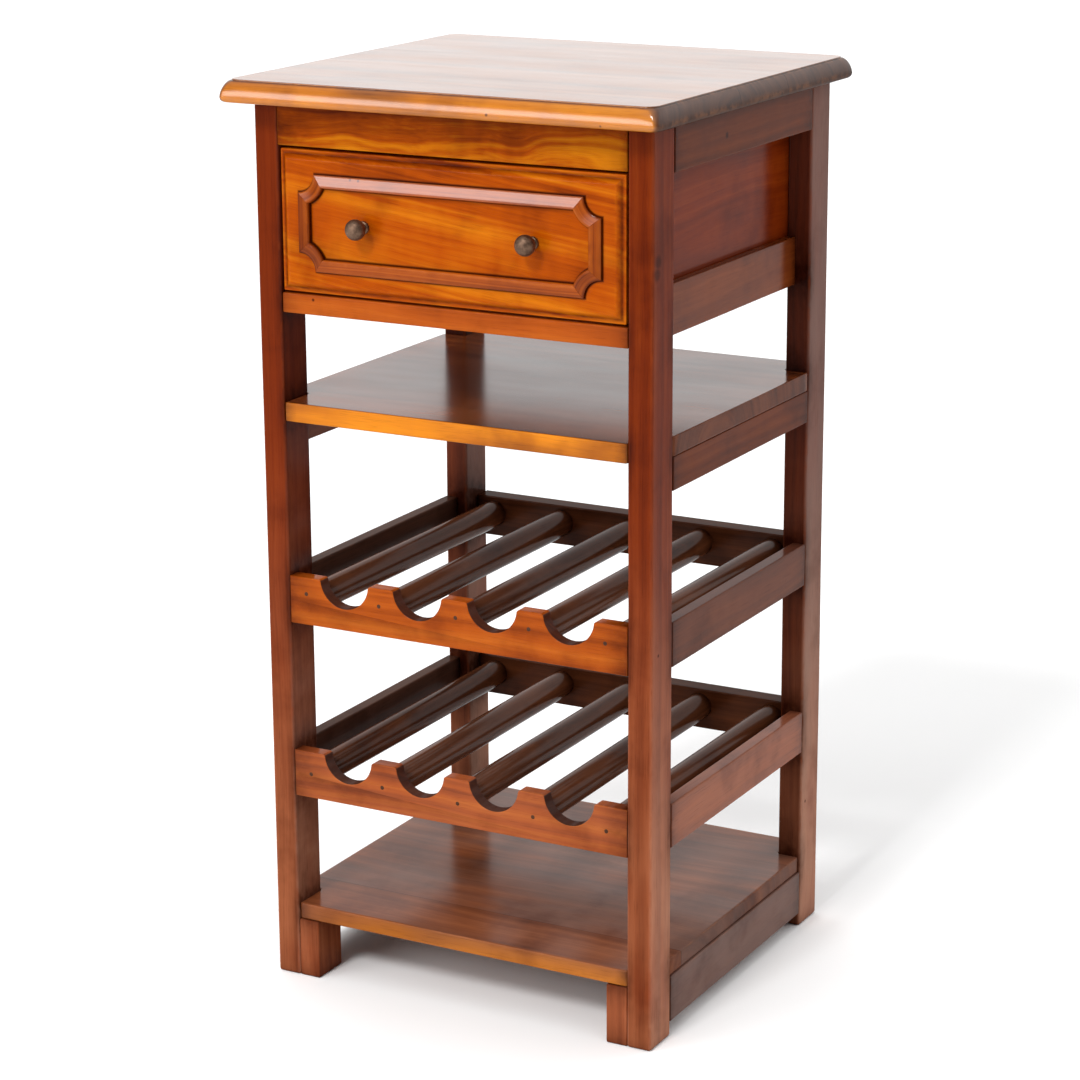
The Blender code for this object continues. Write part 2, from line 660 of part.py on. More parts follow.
def grow_tenons(shape, length, inset):
    """Draw a tenon out of each end face of a rail that runs across."""
    shape.normal_update()
    ends = [face for face in shape.faces if abs(face.normal.x) > 0.999 and len(face.verts) == 4]
    reach = max(abs(face.calc_center_median().x) for face in ends)
    ends = [face for face in ends if abs(face.calc_center_median().x) > reach - CLEAR]
    bmesh.ops.inset_individual(shape, faces=ends, thickness=inset, use_even_offset=True)
    tips = bmesh.ops.extrude_discrete_faces(shape, faces=ends)["faces"]
    for face in tips:
        sign = 1 if face.calc_center_median().x > 0 else -1
        bmesh.ops.translate(shape, verts=face.verts, vec=(sign * length, 0.0, 0.0))


def make_rack(name, foot):
    """Rack: four rails between the posts and a row of bars let into the front and rear ones."""
    outline = scalloped(foot)
    rings = [[(x, y, z) for x, z in outline] for y in (RACK_FACE, RACK_FRONT_BACK)]
    shape = loft(rings)
    bmesh.ops.recalc_face_normals(shape, faces=shape.faces)
    grow_tenons(shape, TENON, THIN_SHOULDER)
    low = (-IN_X + CLEAR, RACK_FACE, foot)
    high = (IN_X - CLEAR, RACK_FRONT_BACK, foot + RACK_FRONT_H)
    note_tenons(0, low, high, TENON, (THIN_SHOULDER, THIN_SHOULDER))
    front = place(f"{name}_front", shape, ORANGE)
    smooth(front, 30)
    rear = cross_rail(f"{name}_rear", (BACK - RAIL_T, BACK), (foot, foot + RACK_REAR_H), BROWN)
    side_rails(f"{name}_side", (OUT_X - SIDE_RAIL_T, OUT_X), (foot, foot + RACK_SIDE_H), BROWN)
    bar_z = foot + BAR_Z
    socket_r = BAR_R + CLEAR
    ends = (RACK_FRONT_BACK - SOCKET, BACK - RAIL_T + SOCKET)
    front_holes = bmesh.new()
    rear_holes = bmesh.new()
    for i in range(BARS):
        x = (i - (BARS - 1) / 2) * BAR_PITCH
        turned([(socket_r, ends[0] - CLEAR), (socket_r, RACK_FRONT_BACK + CUT)], x, bar_z, front_holes)
        turned([(socket_r, BACK - RAIL_T - CUT), (socket_r, ends[1] + CLEAR)], x, bar_z, rear_holes)
        profile = [
            (BAR_R - EASE, ends[0]),
            (BAR_R, ends[0] + EASE),
            (BAR_R, ends[1] - EASE),
            (BAR_R - EASE, ends[1]),
        ]
        smooth(place(f"{name}_bar_{i + 1}", turned(profile, x, bar_z), BROWN))
    cut(front, front_holes, f"cut_{name}_front")
    cut(rear, rear_holes, f"cut_{name}_rear")


def make_posts():
    """Four posts, each cut for the tenons that were noted for it."""
    for (end, side), boxes in mortises.items():
        x = (IN_X, OUT_X) if side == "right" else (-OUT_X, -IN_X)
        y = (FRONT, FRONT_POST_BACK) if end == "front" else (REAR_POST_FRONT, BACK)
        low = (x[0], y[0], 0.0)
        high = (x[1], y[1], HEAD)
        post = board(f"post_{end}_{side}", 2, low, high, RED, ease=POST_EASE)
        holes = bmesh.new()
        for low, high in boxes:
            box_into(holes, low, high)
        cut(post, holes, f"cut_post_{end}_{side}")


make_top()
make_case()
make_drawer()
make_shelves()
make_rack("rack_lower", RACK_Z)
make_rack("rack_upper", RACK_Z + RACK_STEP)
make_posts()
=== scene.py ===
"""Looks of the wine table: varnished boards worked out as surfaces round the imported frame.

Every board, bar, moulding and knob is a grid of points that numpy works out from the frame's own
boxes. Each point also knows where it lay in the tree, and the wood finishes read that, so the
figure runs along each board and turns to end grain at its ends.
"""

import math
import zlib

import bpy
import numpy as np
from bpy.props import FloatProperty, FloatVectorProperty, PointerProperty
from mathutils import Matrix, Vector


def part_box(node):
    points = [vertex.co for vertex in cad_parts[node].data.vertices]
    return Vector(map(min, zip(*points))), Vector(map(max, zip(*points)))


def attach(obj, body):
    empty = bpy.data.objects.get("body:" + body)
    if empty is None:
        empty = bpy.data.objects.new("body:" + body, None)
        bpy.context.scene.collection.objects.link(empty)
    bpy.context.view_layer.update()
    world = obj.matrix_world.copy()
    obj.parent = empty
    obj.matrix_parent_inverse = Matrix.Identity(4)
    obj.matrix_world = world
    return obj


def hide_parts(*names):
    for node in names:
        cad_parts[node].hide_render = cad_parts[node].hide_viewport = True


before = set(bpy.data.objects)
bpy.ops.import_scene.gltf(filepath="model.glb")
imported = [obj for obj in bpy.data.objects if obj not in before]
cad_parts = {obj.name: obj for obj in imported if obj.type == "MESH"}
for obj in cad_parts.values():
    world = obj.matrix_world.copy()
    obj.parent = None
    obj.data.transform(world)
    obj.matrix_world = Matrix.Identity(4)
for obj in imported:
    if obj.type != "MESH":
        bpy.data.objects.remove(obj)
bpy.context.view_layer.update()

bl_info = {
    "name": "Wine table",
    "version": (1, 0, 0),
    "blender": (4, 5, 0),
    "location": "3D View > Sidebar > Wine table",
    "description": "Dresses the packed wine table in varnished wood on a pale studio floor",
    "category": "Add Mesh",
}

MM = 0.001
QUARTER = math.pi / 2
PHOTO_SIDE = 1080.0  # pixels
SENSOR = 36.0  # millimetres

ARRIS_STEPS = 4  # facets in a rounded arris
ARRIS_TURN = np.linspace(0.0, QUARTER, ARRIS_STEPS + 1)
FLAT_SHARES = np.array([0.03, 0.3, 0.7, 0.97])  # where a straight run between two arrises has points
END_RINGS = np.array([0.8, 3.0, 8.0, 18.0]) * MM  # rings close to a board's end
RING_STEP = 12 * MM
SMALLEST_ROUND = 0.15 * MM
NOOK_REACH = 10 * MM  # how far painted shade and dirt spread from a joint
HEART = (40.0, 130.0)  # how far from the tree's heart most boards were cut, in millimetres
KNEE_HEIGHT = 0.62  # the posts' stain is worn below this
OVOLO_POWER = 1.25
FIELD_RISE = 4 * MM  # how far the drawer front's field stands out
POST_SHADE_AND_GRIME = 6 * MM  # how far painted shade and dirt run along a shelf's edge from a post
DULL_END = 90 * MM  # how far the bottom shelf's edge is dull from its left end
BAR_OVAL = 0.012
BAR_STRAY = 0.4 * MM
BAR_SOCKET = 8 * MM
TURNED_SIDES = 48
PIN_SIDES = 16
FLOOR_SIDES = 96
FLOOR_REACH = 60.0  # metres
FLOOR_SINK = 0.3 * MM
FLOOR_THICK = 10 * MM
SIDES = ("left", "right")
RACKS = ("rack_lower", "rack_upper")
BARS = (1, 2, 3, 4, 5)
JOINED = ("drawer_rail", "middle_shelf", "rack_upper_front", "rack_lower_front", "bottom_shelf")

# Light, middle and dark tone of each wood
STREAKS = {"light": "Pale streaks", "middle": "Body", "dark": "Dark streaks"}
TONES = {
    "golden": ("Golden boards", (0.61, 0.165, 0.004), (0.425, 0.070, 0.001), (0.19, 0.024, 0.001)),
    "rail": ("Rail over the drawer", (0.62, 0.195, 0.004), (0.40, 0.070, 0.001), (0.16, 0.019, 0.001)),
    "rack": ("Racks' front rails", (0.56, 0.135, 0.012), (0.43, 0.082, 0.006), (0.2, 0.032, 0.003)),
    "red": ("Posts and side panels", (0.27, 0.042, 0.004), (0.185, 0.023, 0.002), (0.085, 0.009, 0.001)),
    "brown": ("Side rails", (0.27, 0.062, 0.012), (0.155, 0.031, 0.006), (0.055, 0.011, 0.004)),
    "smoky": ("Bars", (0.19, 0.062, 0.024), (0.105, 0.034, 0.014), (0.036, 0.012, 0.006)),
    "face": ("Top's flat face", (0.32, 0.120, 0.042), (0.235, 0.080, 0.026), (0.105, 0.033, 0.013)),
    "shelf": ("Middle shelf", (0.25, 0.062, 0.015), (0.165, 0.038, 0.009), (0.07, 0.015, 0.004)),
    "low": ("Bottom shelf", (0.40, 0.130, 0.048), (0.225, 0.062, 0.020), (0.075, 0.018, 0.006)),
    "lip": ("Shelves' front edges", (0.82, 0.310, 0.012), (0.70, 0.220, 0.006), (0.42, 0.11, 0.005)),
    "worn": ("Posts near the floor", (0.50, 0.190, 0.092), (0.36, 0.118, 0.051), (0.20, 0.057, 0.025)),
    "mould": ("Drawer's moulding", (0.48, 0.112, 0.008), (0.33, 0.060, 0.003), (0.11, 0.016, 0.001)),
    "pale": ("Bare drawer boards", (0.62, 0.43, 0.24), (0.5, 0.31, 0.15), (0.3, 0.16, 0.07)),
}


def number(name, about, default, **more):
    """Property for a number."""
    return FloatProperty(name=name, description=about, default=default, **more)


def length(name, about, millimetres):
    """Property for a length of the table."""
    return number(name, about, millimetres * MM, subtype="DISTANCE", unit="LENGTH")


def share(name, about, default):
    """Property for a number from 0 to 1."""
    return number(name, about, default, min=0.0, max=1.0, subtype="FACTOR")


def triple(name, about, default, **more):
    """Property for three numbers."""
    return FloatVectorProperty(name=name, description=about, default=default, size=3, **more)


def tint(name, about, default):
    """Property for a colour."""
    return triple(name, about, default, min=0.0, max=1.0, subtype="COLOR")


class TableShapes(bpy.types.PropertyGroup):
    """Sizes that the frame's boxes don't give."""

    gap: length("Joint gap", "Space left between two boards that meet", 0.3)
    post_round: length("Post arris", "Radius of a post's worn arrises", 2.8)
    board_round: length("Board arris", "Radius of a rail's arrises", 1.3)
    shelf_round: length("Shelf arris", "Radius of a shelf's arrises", 1.5)
    shelf_corner: length("Shelf corner", "Radius of a shelf's corners in plan", 2.8)
    rack_round: length("Rack arris", "Radius of the arrises of a rack's front rail", 0.9)
    thin_round: length("Thin arris", "Radius of the arrises of thin panels", 0.8)
    # Painted shade under the top's overhang: how far it reaches down the top rails
    overhang_shade: length("Dirt under the top", "How far dirt spreads down the top rails", 9.0)
    wander: length("Hand-planed wander", "How far a board's face strays from true", 0.12)
    edge_out: length("Edge reach", "Nose of the top's moulded edge past its upper arris", 7.2)
    edge_step: length("Edge step", "Depth of the small step under the top's face", 1.5)
    edge_ledge: length("Edge ledge", "Width of that step", 0.8)
    nose_drop: length("Nose depth", "Nose of the moulded edge below the top's face", 17.0)
    nose_round: length("Nose round", "Round under the nose", 3.5)
    corner_face: length("Face corner", "Plan radius of the top's flat face at its corners", 11.0)
    corner_nose: length("Nose corner", "Plan radius of the nose at the corners", 4.5)
    seam_front: length("Front seam", "Where the front and middle boards of the top meet", -45.0)
    seam_rear: length("Rear seam", "Where the middle and rear boards of the top meet", 62.0)
    low_seam: length("Bottom seam", "Where the front and rear boards of the bottom shelf meet", -117.0)
    field_margin: length("Field margin", "Flat margin round the drawer front's raised field", 4.0)
    field_slope: length("Field slope", "Width of the slope up to the raised field", 4.5)
    mould_width: length("Moulding width", "Width of the moulding on the drawer", 12.5)
    hollow: length("Hollow corner", "Radius of the moulding's hollow corners at the outer edge", 18.0)
    scallop: length("Scallop radius", "Radius of the hollows that bottle necks lie in", 27.1)
    scallop_floor: length("Scallop floor", "Lowest point of a hollow above the rail's foot", 22.0)
    hump_round: length("Hump shoulder", "Radius of the shoulders between hollows", 3.0)
    pin: length("Pin head", "Radius of the pin heads in the rack fronts", 2.2)


class TableWoods(bpy.types.PropertyGroup):
    """Colours of the woods and metals, and how they shine. The tones of the woods are added below."""

    # Grey of dust, also laid on side faces as a painted sheen
    dust: tint("Dust", "Grey bloom on the low rails and the top's ends", (0.20, 0.135, 0.115))
    bronze: tint("Bronze", "Darkened metal of the knobs", (0.078, 0.044, 0.028))
    bronze_worn: tint("Worn bronze", "Knobs where hands have rubbed them", (0.200, 0.120, 0.078))
    steel: tint("Steel", "Screws", (0.52, 0.51, 0.50))
    steel_worn: tint("Worn steel", "Screws where they are rubbed", (0.70, 0.69, 0.67))
    pin_metal: tint("Pin metal", "Rusty pin heads", (0.050, 0.022, 0.012))
    pin_metal_worn: tint("Worn pin metal", "Pin heads where they are rubbed", (0.10, 0.042, 0.02))
    varnish: share("Varnish", "Weight of the clear coat over the wood", 1.0)
    varnish_bend: number("Varnish index", "How strongly the clear coat bends light", 1.31)
    varnish_rough: share("Varnish roughness", "How much the clear coat blurs what it mirrors", 0.18)


TableWoods.__annotations__.update({
    f"{kind}_{streak}": tint(f"{title}, {streak}", f"{about} of the {title.lower()}", colour)
    for kind, (title, *colours) in TONES.items()
    for (streak, about), colour in zip(STREAKS.items(), colours)
})


class TableStage(bpy.types.PropertyGroup):
    """Camera, lamps and floor."""

    camera_place: triple(
        "Camera place", "Where the camera stands", (1.43894, -2.65165, 1.28470),
        subtype="TRANSLATION", unit="LENGTH",
    )
    camera_turn: triple(
        "Camera turn", "Turn to the left, look down and roll", (0.494134, 0.263710, 0.004725),
        subtype="EULER", unit="ROTATION",
    )
    focal: number("Focal length", "In pixels of the picture", 3097.646)
    middle_x: number("Middle across", "Lens axis in the picture", 555.476)
    middle_y: number("Middle down", "Lens axis in the picture", 510.441)
    room: number("Room", "Brightness of the room's dim walls", 0.24, min=0.0)
    ceiling: number("Ceiling", "How much brighter the ceiling is", 0.80)
    backdrop: number("Backdrop", "How much brighter the wall behind is", 1.2)
    key: number("Key light", "Strength of the main lamp", 1.56, min=0.0)
    key_spread: number("Key spread", "Width of the main lamp in the sky", 0.20, subtype="ANGLE")
    key_from: triple(
        "Key direction", "Where the main lamp stands", (-0.052, -0.741, 0.669), subtype="DIRECTION"
    )
    strip: number("Strip light", "Brightness of the wide lamp at the front left", 7.5)
    strip_from: triple(
        "Strip direction", "Where the wide lamp stands", (-0.457, -0.860, 0.225), subtype="DIRECTION"
    )
    strip_far: length("Strip distance", "How far off the wide lamp stands", 3600.0)
    strip_width: length("Strip width", "Width of the wide lamp", 2400.0)
    strip_height: length("Strip height", "Height of the wide lamp", 900.0)
    lamp_aim: length("Lamp aim", "Height on the table that the wide lamp faces", 750.0)
    floor: tint("Floor", "Pale floor, as it lights the table", (0.80, 0.80, 0.80))
    floor_seen: tint("Floor seen", "Pale floor, as the camera and the varnish see it", (0.99, 0.99, 0.99))


def seeded(name):
    """Random numbers that depend only on a piece's name."""
    return np.random.default_rng(zlib.crc32(name.encode()))


def corners(node):
    """Lowest and highest corner of a node of the frame, as arrays."""
    low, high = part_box(node)
    return np.array(low), np.array(high)


def clipped(node, axis, span):
    """A node's box with its tenons left off: along one axis it keeps to a span."""
    low, high = corners(node)
    low[axis] = max(low[axis], span[0])
    high[axis] = min(high[axis], span[1])
    return low, high


def clear_spans(gap):
    """Clear space between the posts across the table and from front to back."""
    front_low, front_high = corners("post_front_right")
    rear_low, _ = corners("post_rear_right")
    reach = front_low[0] - gap
    return (-reach, reach), (front_high[1] + gap, rear_low[1] - gap)


def moulding_frame():
    """Half the width and half the height of the moulding's outer rectangle, and its middle's height."""
    half = -corners("moulding_left")[0][0]
    head, foot = corners("moulding_top")[1][2], corners("moulding_bottom")[0][2]
    return half, (head - foot) / 2, (head + foot) / 2


def bell(value, middle, width):
    """1 at the middle and less to each side: e to the power of minus the square of the distance in widths."""
    return np.exp(-(((value - middle) / width) ** 2))


def full_circle(count):
    """Angles evenly spread round a circle."""
    return 2 * math.pi * np.arange(count) / count


def with_straights(arcs):
    """Closed outline of arcs, with points along the straight run from each arc to the next."""
    part = FLAT_SHARES[:, None]
    flats = arcs[..., -1:, :] * (1 - part) + np.roll(arcs[..., :1, :], -1, axis=-3) * part
    outline = np.concatenate([arcs, flats], axis=-2)
    return outline.reshape(*outline.shape[:-3], -1, 2)


def rounded_rings(half_a, half_b, radius):
    """Rounded rectangles, one for each entry of three arrays.

    A quarter circle of the radius stands at each corner, about the point that lies the radius
    inside both sides, and straight runs join one quarter to the next.
    """
    angle = QUARTER * np.arange(4)[:, None] + ARRIS_TURN
    sign_a = np.array([1.0, -1.0, -1.0, 1.0])[:, None]
    sign_b = np.array([1.0, 1.0, -1.0, -1.0])[:, None]
    half_a, half_b, radius = (np.asarray(item)[:, None, None] for item in (half_a, half_b, radius))
    a = sign_a * (half_a - radius) + radius * np.cos(angle)
    b = sign_b * (half_b - radius) + radius * np.sin(angle)
    return with_straights(np.stack([a, b], axis=-1))


def arris_weight():
    """How near each point of a rounded rectangle is to the middle of an arris: sin of twice its turn."""
    return np.tile(np.concatenate([np.sin(2 * ARRIS_TURN), np.zeros(len(FLAT_SHARES))]), 4)


def side_facing():
    """How far each point of a rounded rectangle faces along the first axis: the cosine of its turn."""
    angle = QUARTER * np.arange(4)[:, None] + ARRIS_TURN
    flats = np.tile(np.array([0.0, 1.0, 0.0, 1.0])[:, None], (1, len(FLAT_SHARES)))
    return np.concatenate([np.abs(np.cos(angle)), flats], axis=1).reshape(-1)


def lofted(loops, axis, along):
    """Loops of points stood up along an axis, one at each place."""
    points = np.empty(loops.shape[:2] + (3,))
    points[..., [i for i in range(3) if i != axis]] = loops
    points[..., axis] = along[:, None]
    return points


def turned(radius, along, middle, count=TURNED_SIDES):
    """Circles about a line from front to back: cosine of the turn across, sine of it up."""
    angle = full_circle(count)
    x = middle[0] + radius * np.cos(angle)
    z = middle[2] + radius * np.sin(angle)
    return np.stack([x, np.broadcast_to(along, x.shape), z], axis=-1)


def stations(size, ease):
    """Rings from one end of a board to the other: how far along, how far drawn in, how much end grain.

    Each end turns over a quarter circle whose radius is the ease. One ring lies inside the end
    face and more stand close behind it, so that the faces shade flat up to the arris.
    """
    near = END_RINGS[END_RINGS < 0.4 * (size - 2 * ease)]
    along = np.concatenate([[0.0], ease * (1 - np.cos(ARRIS_TURN)), ease + near])
    inset = np.concatenate([[1.6 * ease], ease * (1 - np.sin(ARRIS_TURN)), np.zeros(len(near))])
    grain_end = np.concatenate([[1.0], np.cos(ARRIS_TURN), np.zeros(len(near))])
    count = max(2, int((size - 2 * along[-1]) / RING_STEP) + 2)
    middle = np.linspace(along[-1], size - along[-1], count)[1:-1]
    blank = np.zeros(len(middle))
    return (
        np.concatenate([along, middle, size - along[::-1]]),
        np.concatenate([inset, blank, inset[::-1]]),
        np.concatenate([grain_end, blank, grain_end[::-1]]),
    )


def in_tree(along, across, through, random, heart, slant=0.0):
    """Where points lay in the tree: along the trunk, and across and through it from its heart.

    The slant is how far the trunk's line drifts across the board for each unit along it.
    """
    turn = random.uniform(0.2, 1.2)
    reach = random.uniform(*heart) * MM
    shift = random.uniform(0.0, 40.0)
    along, across, through = np.broadcast_arrays(along, across, through)
    across = across + along * slant
    return np.stack([along + shift, across + reach * math.cos(turn), through + reach * math.sin(turn)], -1)


def board(name, low, high, axis, radius, heart=HEART, wander=0.0):
    """Board: a rounded rectangle carried along an axis, drawn in over a quarter circle at each end.

    Its faces stray from true by two slow sine waves that die out at the ends.
    """
    a, b = [i for i in range(3) if i != axis]
    size, middle = high - low, (low + high) / 2
    along, inset, grain_end = stations(size[axis], radius)
    rounding = np.maximum(radius - inset, SMALLEST_ROUND)
    loops = rounded_rings(size[a] / 2 - inset, size[b] / 2 - inset, rounding)
    random = seeded(name)
    fade = np.sin(math.pi * along / size[axis])
    for side in (0, 1):
        phase, waves = random.uniform(0.0, 6.0), random.uniform(9.0, 16.0)
        loops[..., side] += (wander * fade * np.sin(phase + waves * along))[:, None]
    points = lofted(loops + middle[[a, b]], axis, low[axis] + along)
    spot = points - middle
    wide, thin = (a, b) if size[a] > size[b] else (b, a)
    to_end = np.minimum(along, size[axis] - along)[:, None]
    fields = {
        "grain": in_tree(spot[..., axis], spot[..., wide], spot[..., thin], random, heart),
        "wear": np.maximum(arris_weight(), np.sin(math.pi * grain_end)[:, None]),
        "ends": grain_end[:, None],
        # Painted shade and dirt towards the board's ends, where it meets other parts
        "nook": np.exp(-to_end / NOOK_REACH),
    }
    return points, fields


def rail(s, node, axis, heart=HEART):
    """A board that reaches from post to post, with its tenons left off."""
    low, high = clipped(node, axis, clear_spans(s.gap)[axis])
    return board(node, low, high, axis, s.board_round, heart, s.wander)


def filleted(points, radius):
    """Closed outline with square corners turned into quarter circles, and points along its straights."""
    ahead = np.roll(points, -1, axis=0) - points
    ahead /= np.linalg.norm(ahead, axis=1, keepdims=True)
    behind = np.roll(ahead, 1, axis=0)
    turn = ARRIS_TURN[:, None]
    arcs = points[:, None] - radius * behind[:, None] * (1 - np.sin(turn))
    return with_straights(arcs + radius * ahead[:, None] * (1 - np.cos(turn)))


def drawn_in(outline, inset):
    """A closed outline, anticlockwise, moved in along its own normals by each entry of an array."""
    ahead = np.roll(outline, -1, axis=0) - outline
    ahead /= np.linalg.norm(ahead, axis=1, keepdims=True)
    both = ahead + np.roll(ahead, 1, axis=0)
    normal = np.stack([both[:, 1], -both[:, 0]], axis=-1) * 2 / np.sum(both**2, axis=1, keepdims=True)
    return outline[None] - np.asarray(inset)[:, None, None] * normal[None]


def eased(path, setback):
    """Open path whose inner corners are cut back and joined by parabolas tangent to both sides."""
    path, setback = np.asarray(path, float), np.asarray(setback, float)[:, None]
    inner = path[1:-1]
    back = path[:-2] - inner
    on = path[2:] - inner
    back /= np.linalg.norm(back, axis=1, keepdims=True)
    on /= np.linalg.norm(on, axis=1, keepdims=True)
    start, stop = (inner + setback * back)[:, None], (inner + setback * on)[:, None]
    t = np.linspace(0.0, 1.0, ARRIS_STEPS + 1)[None, :, None]
    bends = start * (1 - t) ** 2 + 2 * inner[:, None] * t * (1 - t) + stop * t**2
    return np.concatenate([path[:1], bends.reshape(-1, 2), path[-1:]])


def skin(name, points, fields):
    """Closed skin over rings of points: four-sided faces between neighbours and a flat face at each end.

    The faces are turned round where the volume that they close comes out negative. A field is a number for
    every point, or anything that spreads over the rings; the grain is a place in the tree.
    """
    rings, count = points.shape[:2]
    index = np.arange(rings * count).reshape(rings, count)
    near, far = index[:-1], index[1:]
    quads = np.stack([near, np.roll(near, -1, 1), np.roll(far, -1, 1), far], axis=-1).reshape(-1, 4)
    spots = points.reshape(-1, 3)
    p, q, r, s = (spots[quads[:, i]] - spots.mean(axis=0) for i in range(4))
    volume = np.sum(p * np.cross(q, r)) + np.sum(p * np.cross(r, s))
    ends = (index[0][::-1], index[-1])
    for end in ends:
        rim = spots[end] - spots.mean(axis=0)
        volume += np.sum(rim[0] * np.cross(rim[1:-1], rim[2:]).sum(axis=0))
    if volume < 0:
        quads = quads[:, ::-1]
        ends = (index[0], index[-1][::-1])
    loops = np.concatenate([quads.reshape(-1), *ends]).astype(np.int32)
    starts = np.concatenate([np.arange(len(quads)) * 4, len(quads) * 4 + np.array([0, count])])
    mesh = bpy.data.meshes.new(name)
    mesh.vertices.add(len(spots))
    mesh.vertices.foreach_set("co", spots.astype(np.float32).reshape(-1))
    mesh.loops.add(len(loops))
    mesh.loops.foreach_set("vertex_index", loops)
    mesh.polygons.add(len(starts))
    mesh.polygons.foreach_set("loop_start", starts.astype(np.int32))
    mesh.polygons.foreach_set("use_smooth", np.ones(len(starts), dtype=bool))
    mesh.update(calc_edges=True)
    mesh.validate()
    for field, values in fields.items():
        kind, key, shape = "FLOAT", "value", points.shape[:2]
        if field == "grain":
            kind, key, shape = "FLOAT_VECTOR", "vector", points.shape
        flat = np.ascontiguousarray(np.broadcast_to(values, shape), dtype=np.float32).reshape(-1)
        mesh.attributes.new(field, kind, "POINT").data.foreach_set(key, flat)
    thing = bpy.data.objects.new(name, mesh)
    bpy.context.scene.collection.objects.link(thing)
    return thing


# How deeply some boards took the stain; on the racks' left side rails and the moulding pieces it is painted
# shade as well
STAIN_AND_SHADE = {
    "rail_top_front": 0.45, "rail_top_right": 0.5, "rail_low_right": 0.0, "side_panel_right": 0.0,
    "drawer_front": 0.25, "drawer_rail": 0.3, "post_front_right": 0.5, "post_front_left": 0.4,
    "rack_upper_front": 0.35, "rack_lower_front": 0.35, "rack_upper_rear": 1.0, "rack_lower_rear": 1.0,
    # Painted shade: the racks' left side rails lie in shade
    "rack_upper_side_left": 1.0, "rack_lower_side_left": 1.0,
    "rack_upper_side_right": 0.45, "rack_lower_side_right": 0.0,
    "middle_shelf": 0.0, "middle_bearer_right": 0.5, "bottom_shelf": 0.1,
    # Painted shade on the moulding pieces by the way they face: left darkest, top none
    "moulding_left": 0.9, "moulding_right": 0.6, "moulding_bottom": 0.15, "moulding_top": 0.0,
    "moulding_corner_top_left": 0.5, "moulding_corner_bottom_left": 0.6,
    "moulding_corner_top_right": 0.2, "moulding_corner_bottom_right": 0.4,
}


def piece(node, points, fields, finish, body="table"):
    """Put a surface in a node's place: it rides on the node's body and takes the finish's material."""
    depth = STAIN_AND_SHADE.get(node, seeded(f"{node}_tone").uniform(0.0, 0.4))
    thing = skin(f"{node}_made", points, {"tone": depth, **fields})
    thing.data.materials.append(finish_named(finish))
    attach(thing, body)
    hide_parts(node)


class Wire:
    """An output of a shader node that Python's operators act on, each adding its Math node."""

    def __init__(self, graph, socket):
        self.graph = graph
        self.socket = socket

    def beside(self, output):
        """Another output of the same node."""
        return Wire(self.graph, self.socket.node.outputs[output])

    def __add__(self, other):
        return self.graph.math("ADD", self, other)

    def __radd__(self, other):
        return self.graph.math("ADD", other, self)

    def __sub__(self, other):
        return self.graph.math("SUBTRACT", self, other)

    def __rsub__(self, other):
        return self.graph.math("SUBTRACT", other, self)

    def __mul__(self, other):
        return self.graph.math("MULTIPLY", self, other)

    def __rmul__(self, other):
        return self.graph.math("MULTIPLY", other, self)

    def __gt__(self, other):
        return self.graph.math("GREATER_THAN", self, other)

    def __abs__(self):
        return self.graph.math("ABSOLUTE", self, 0.0)


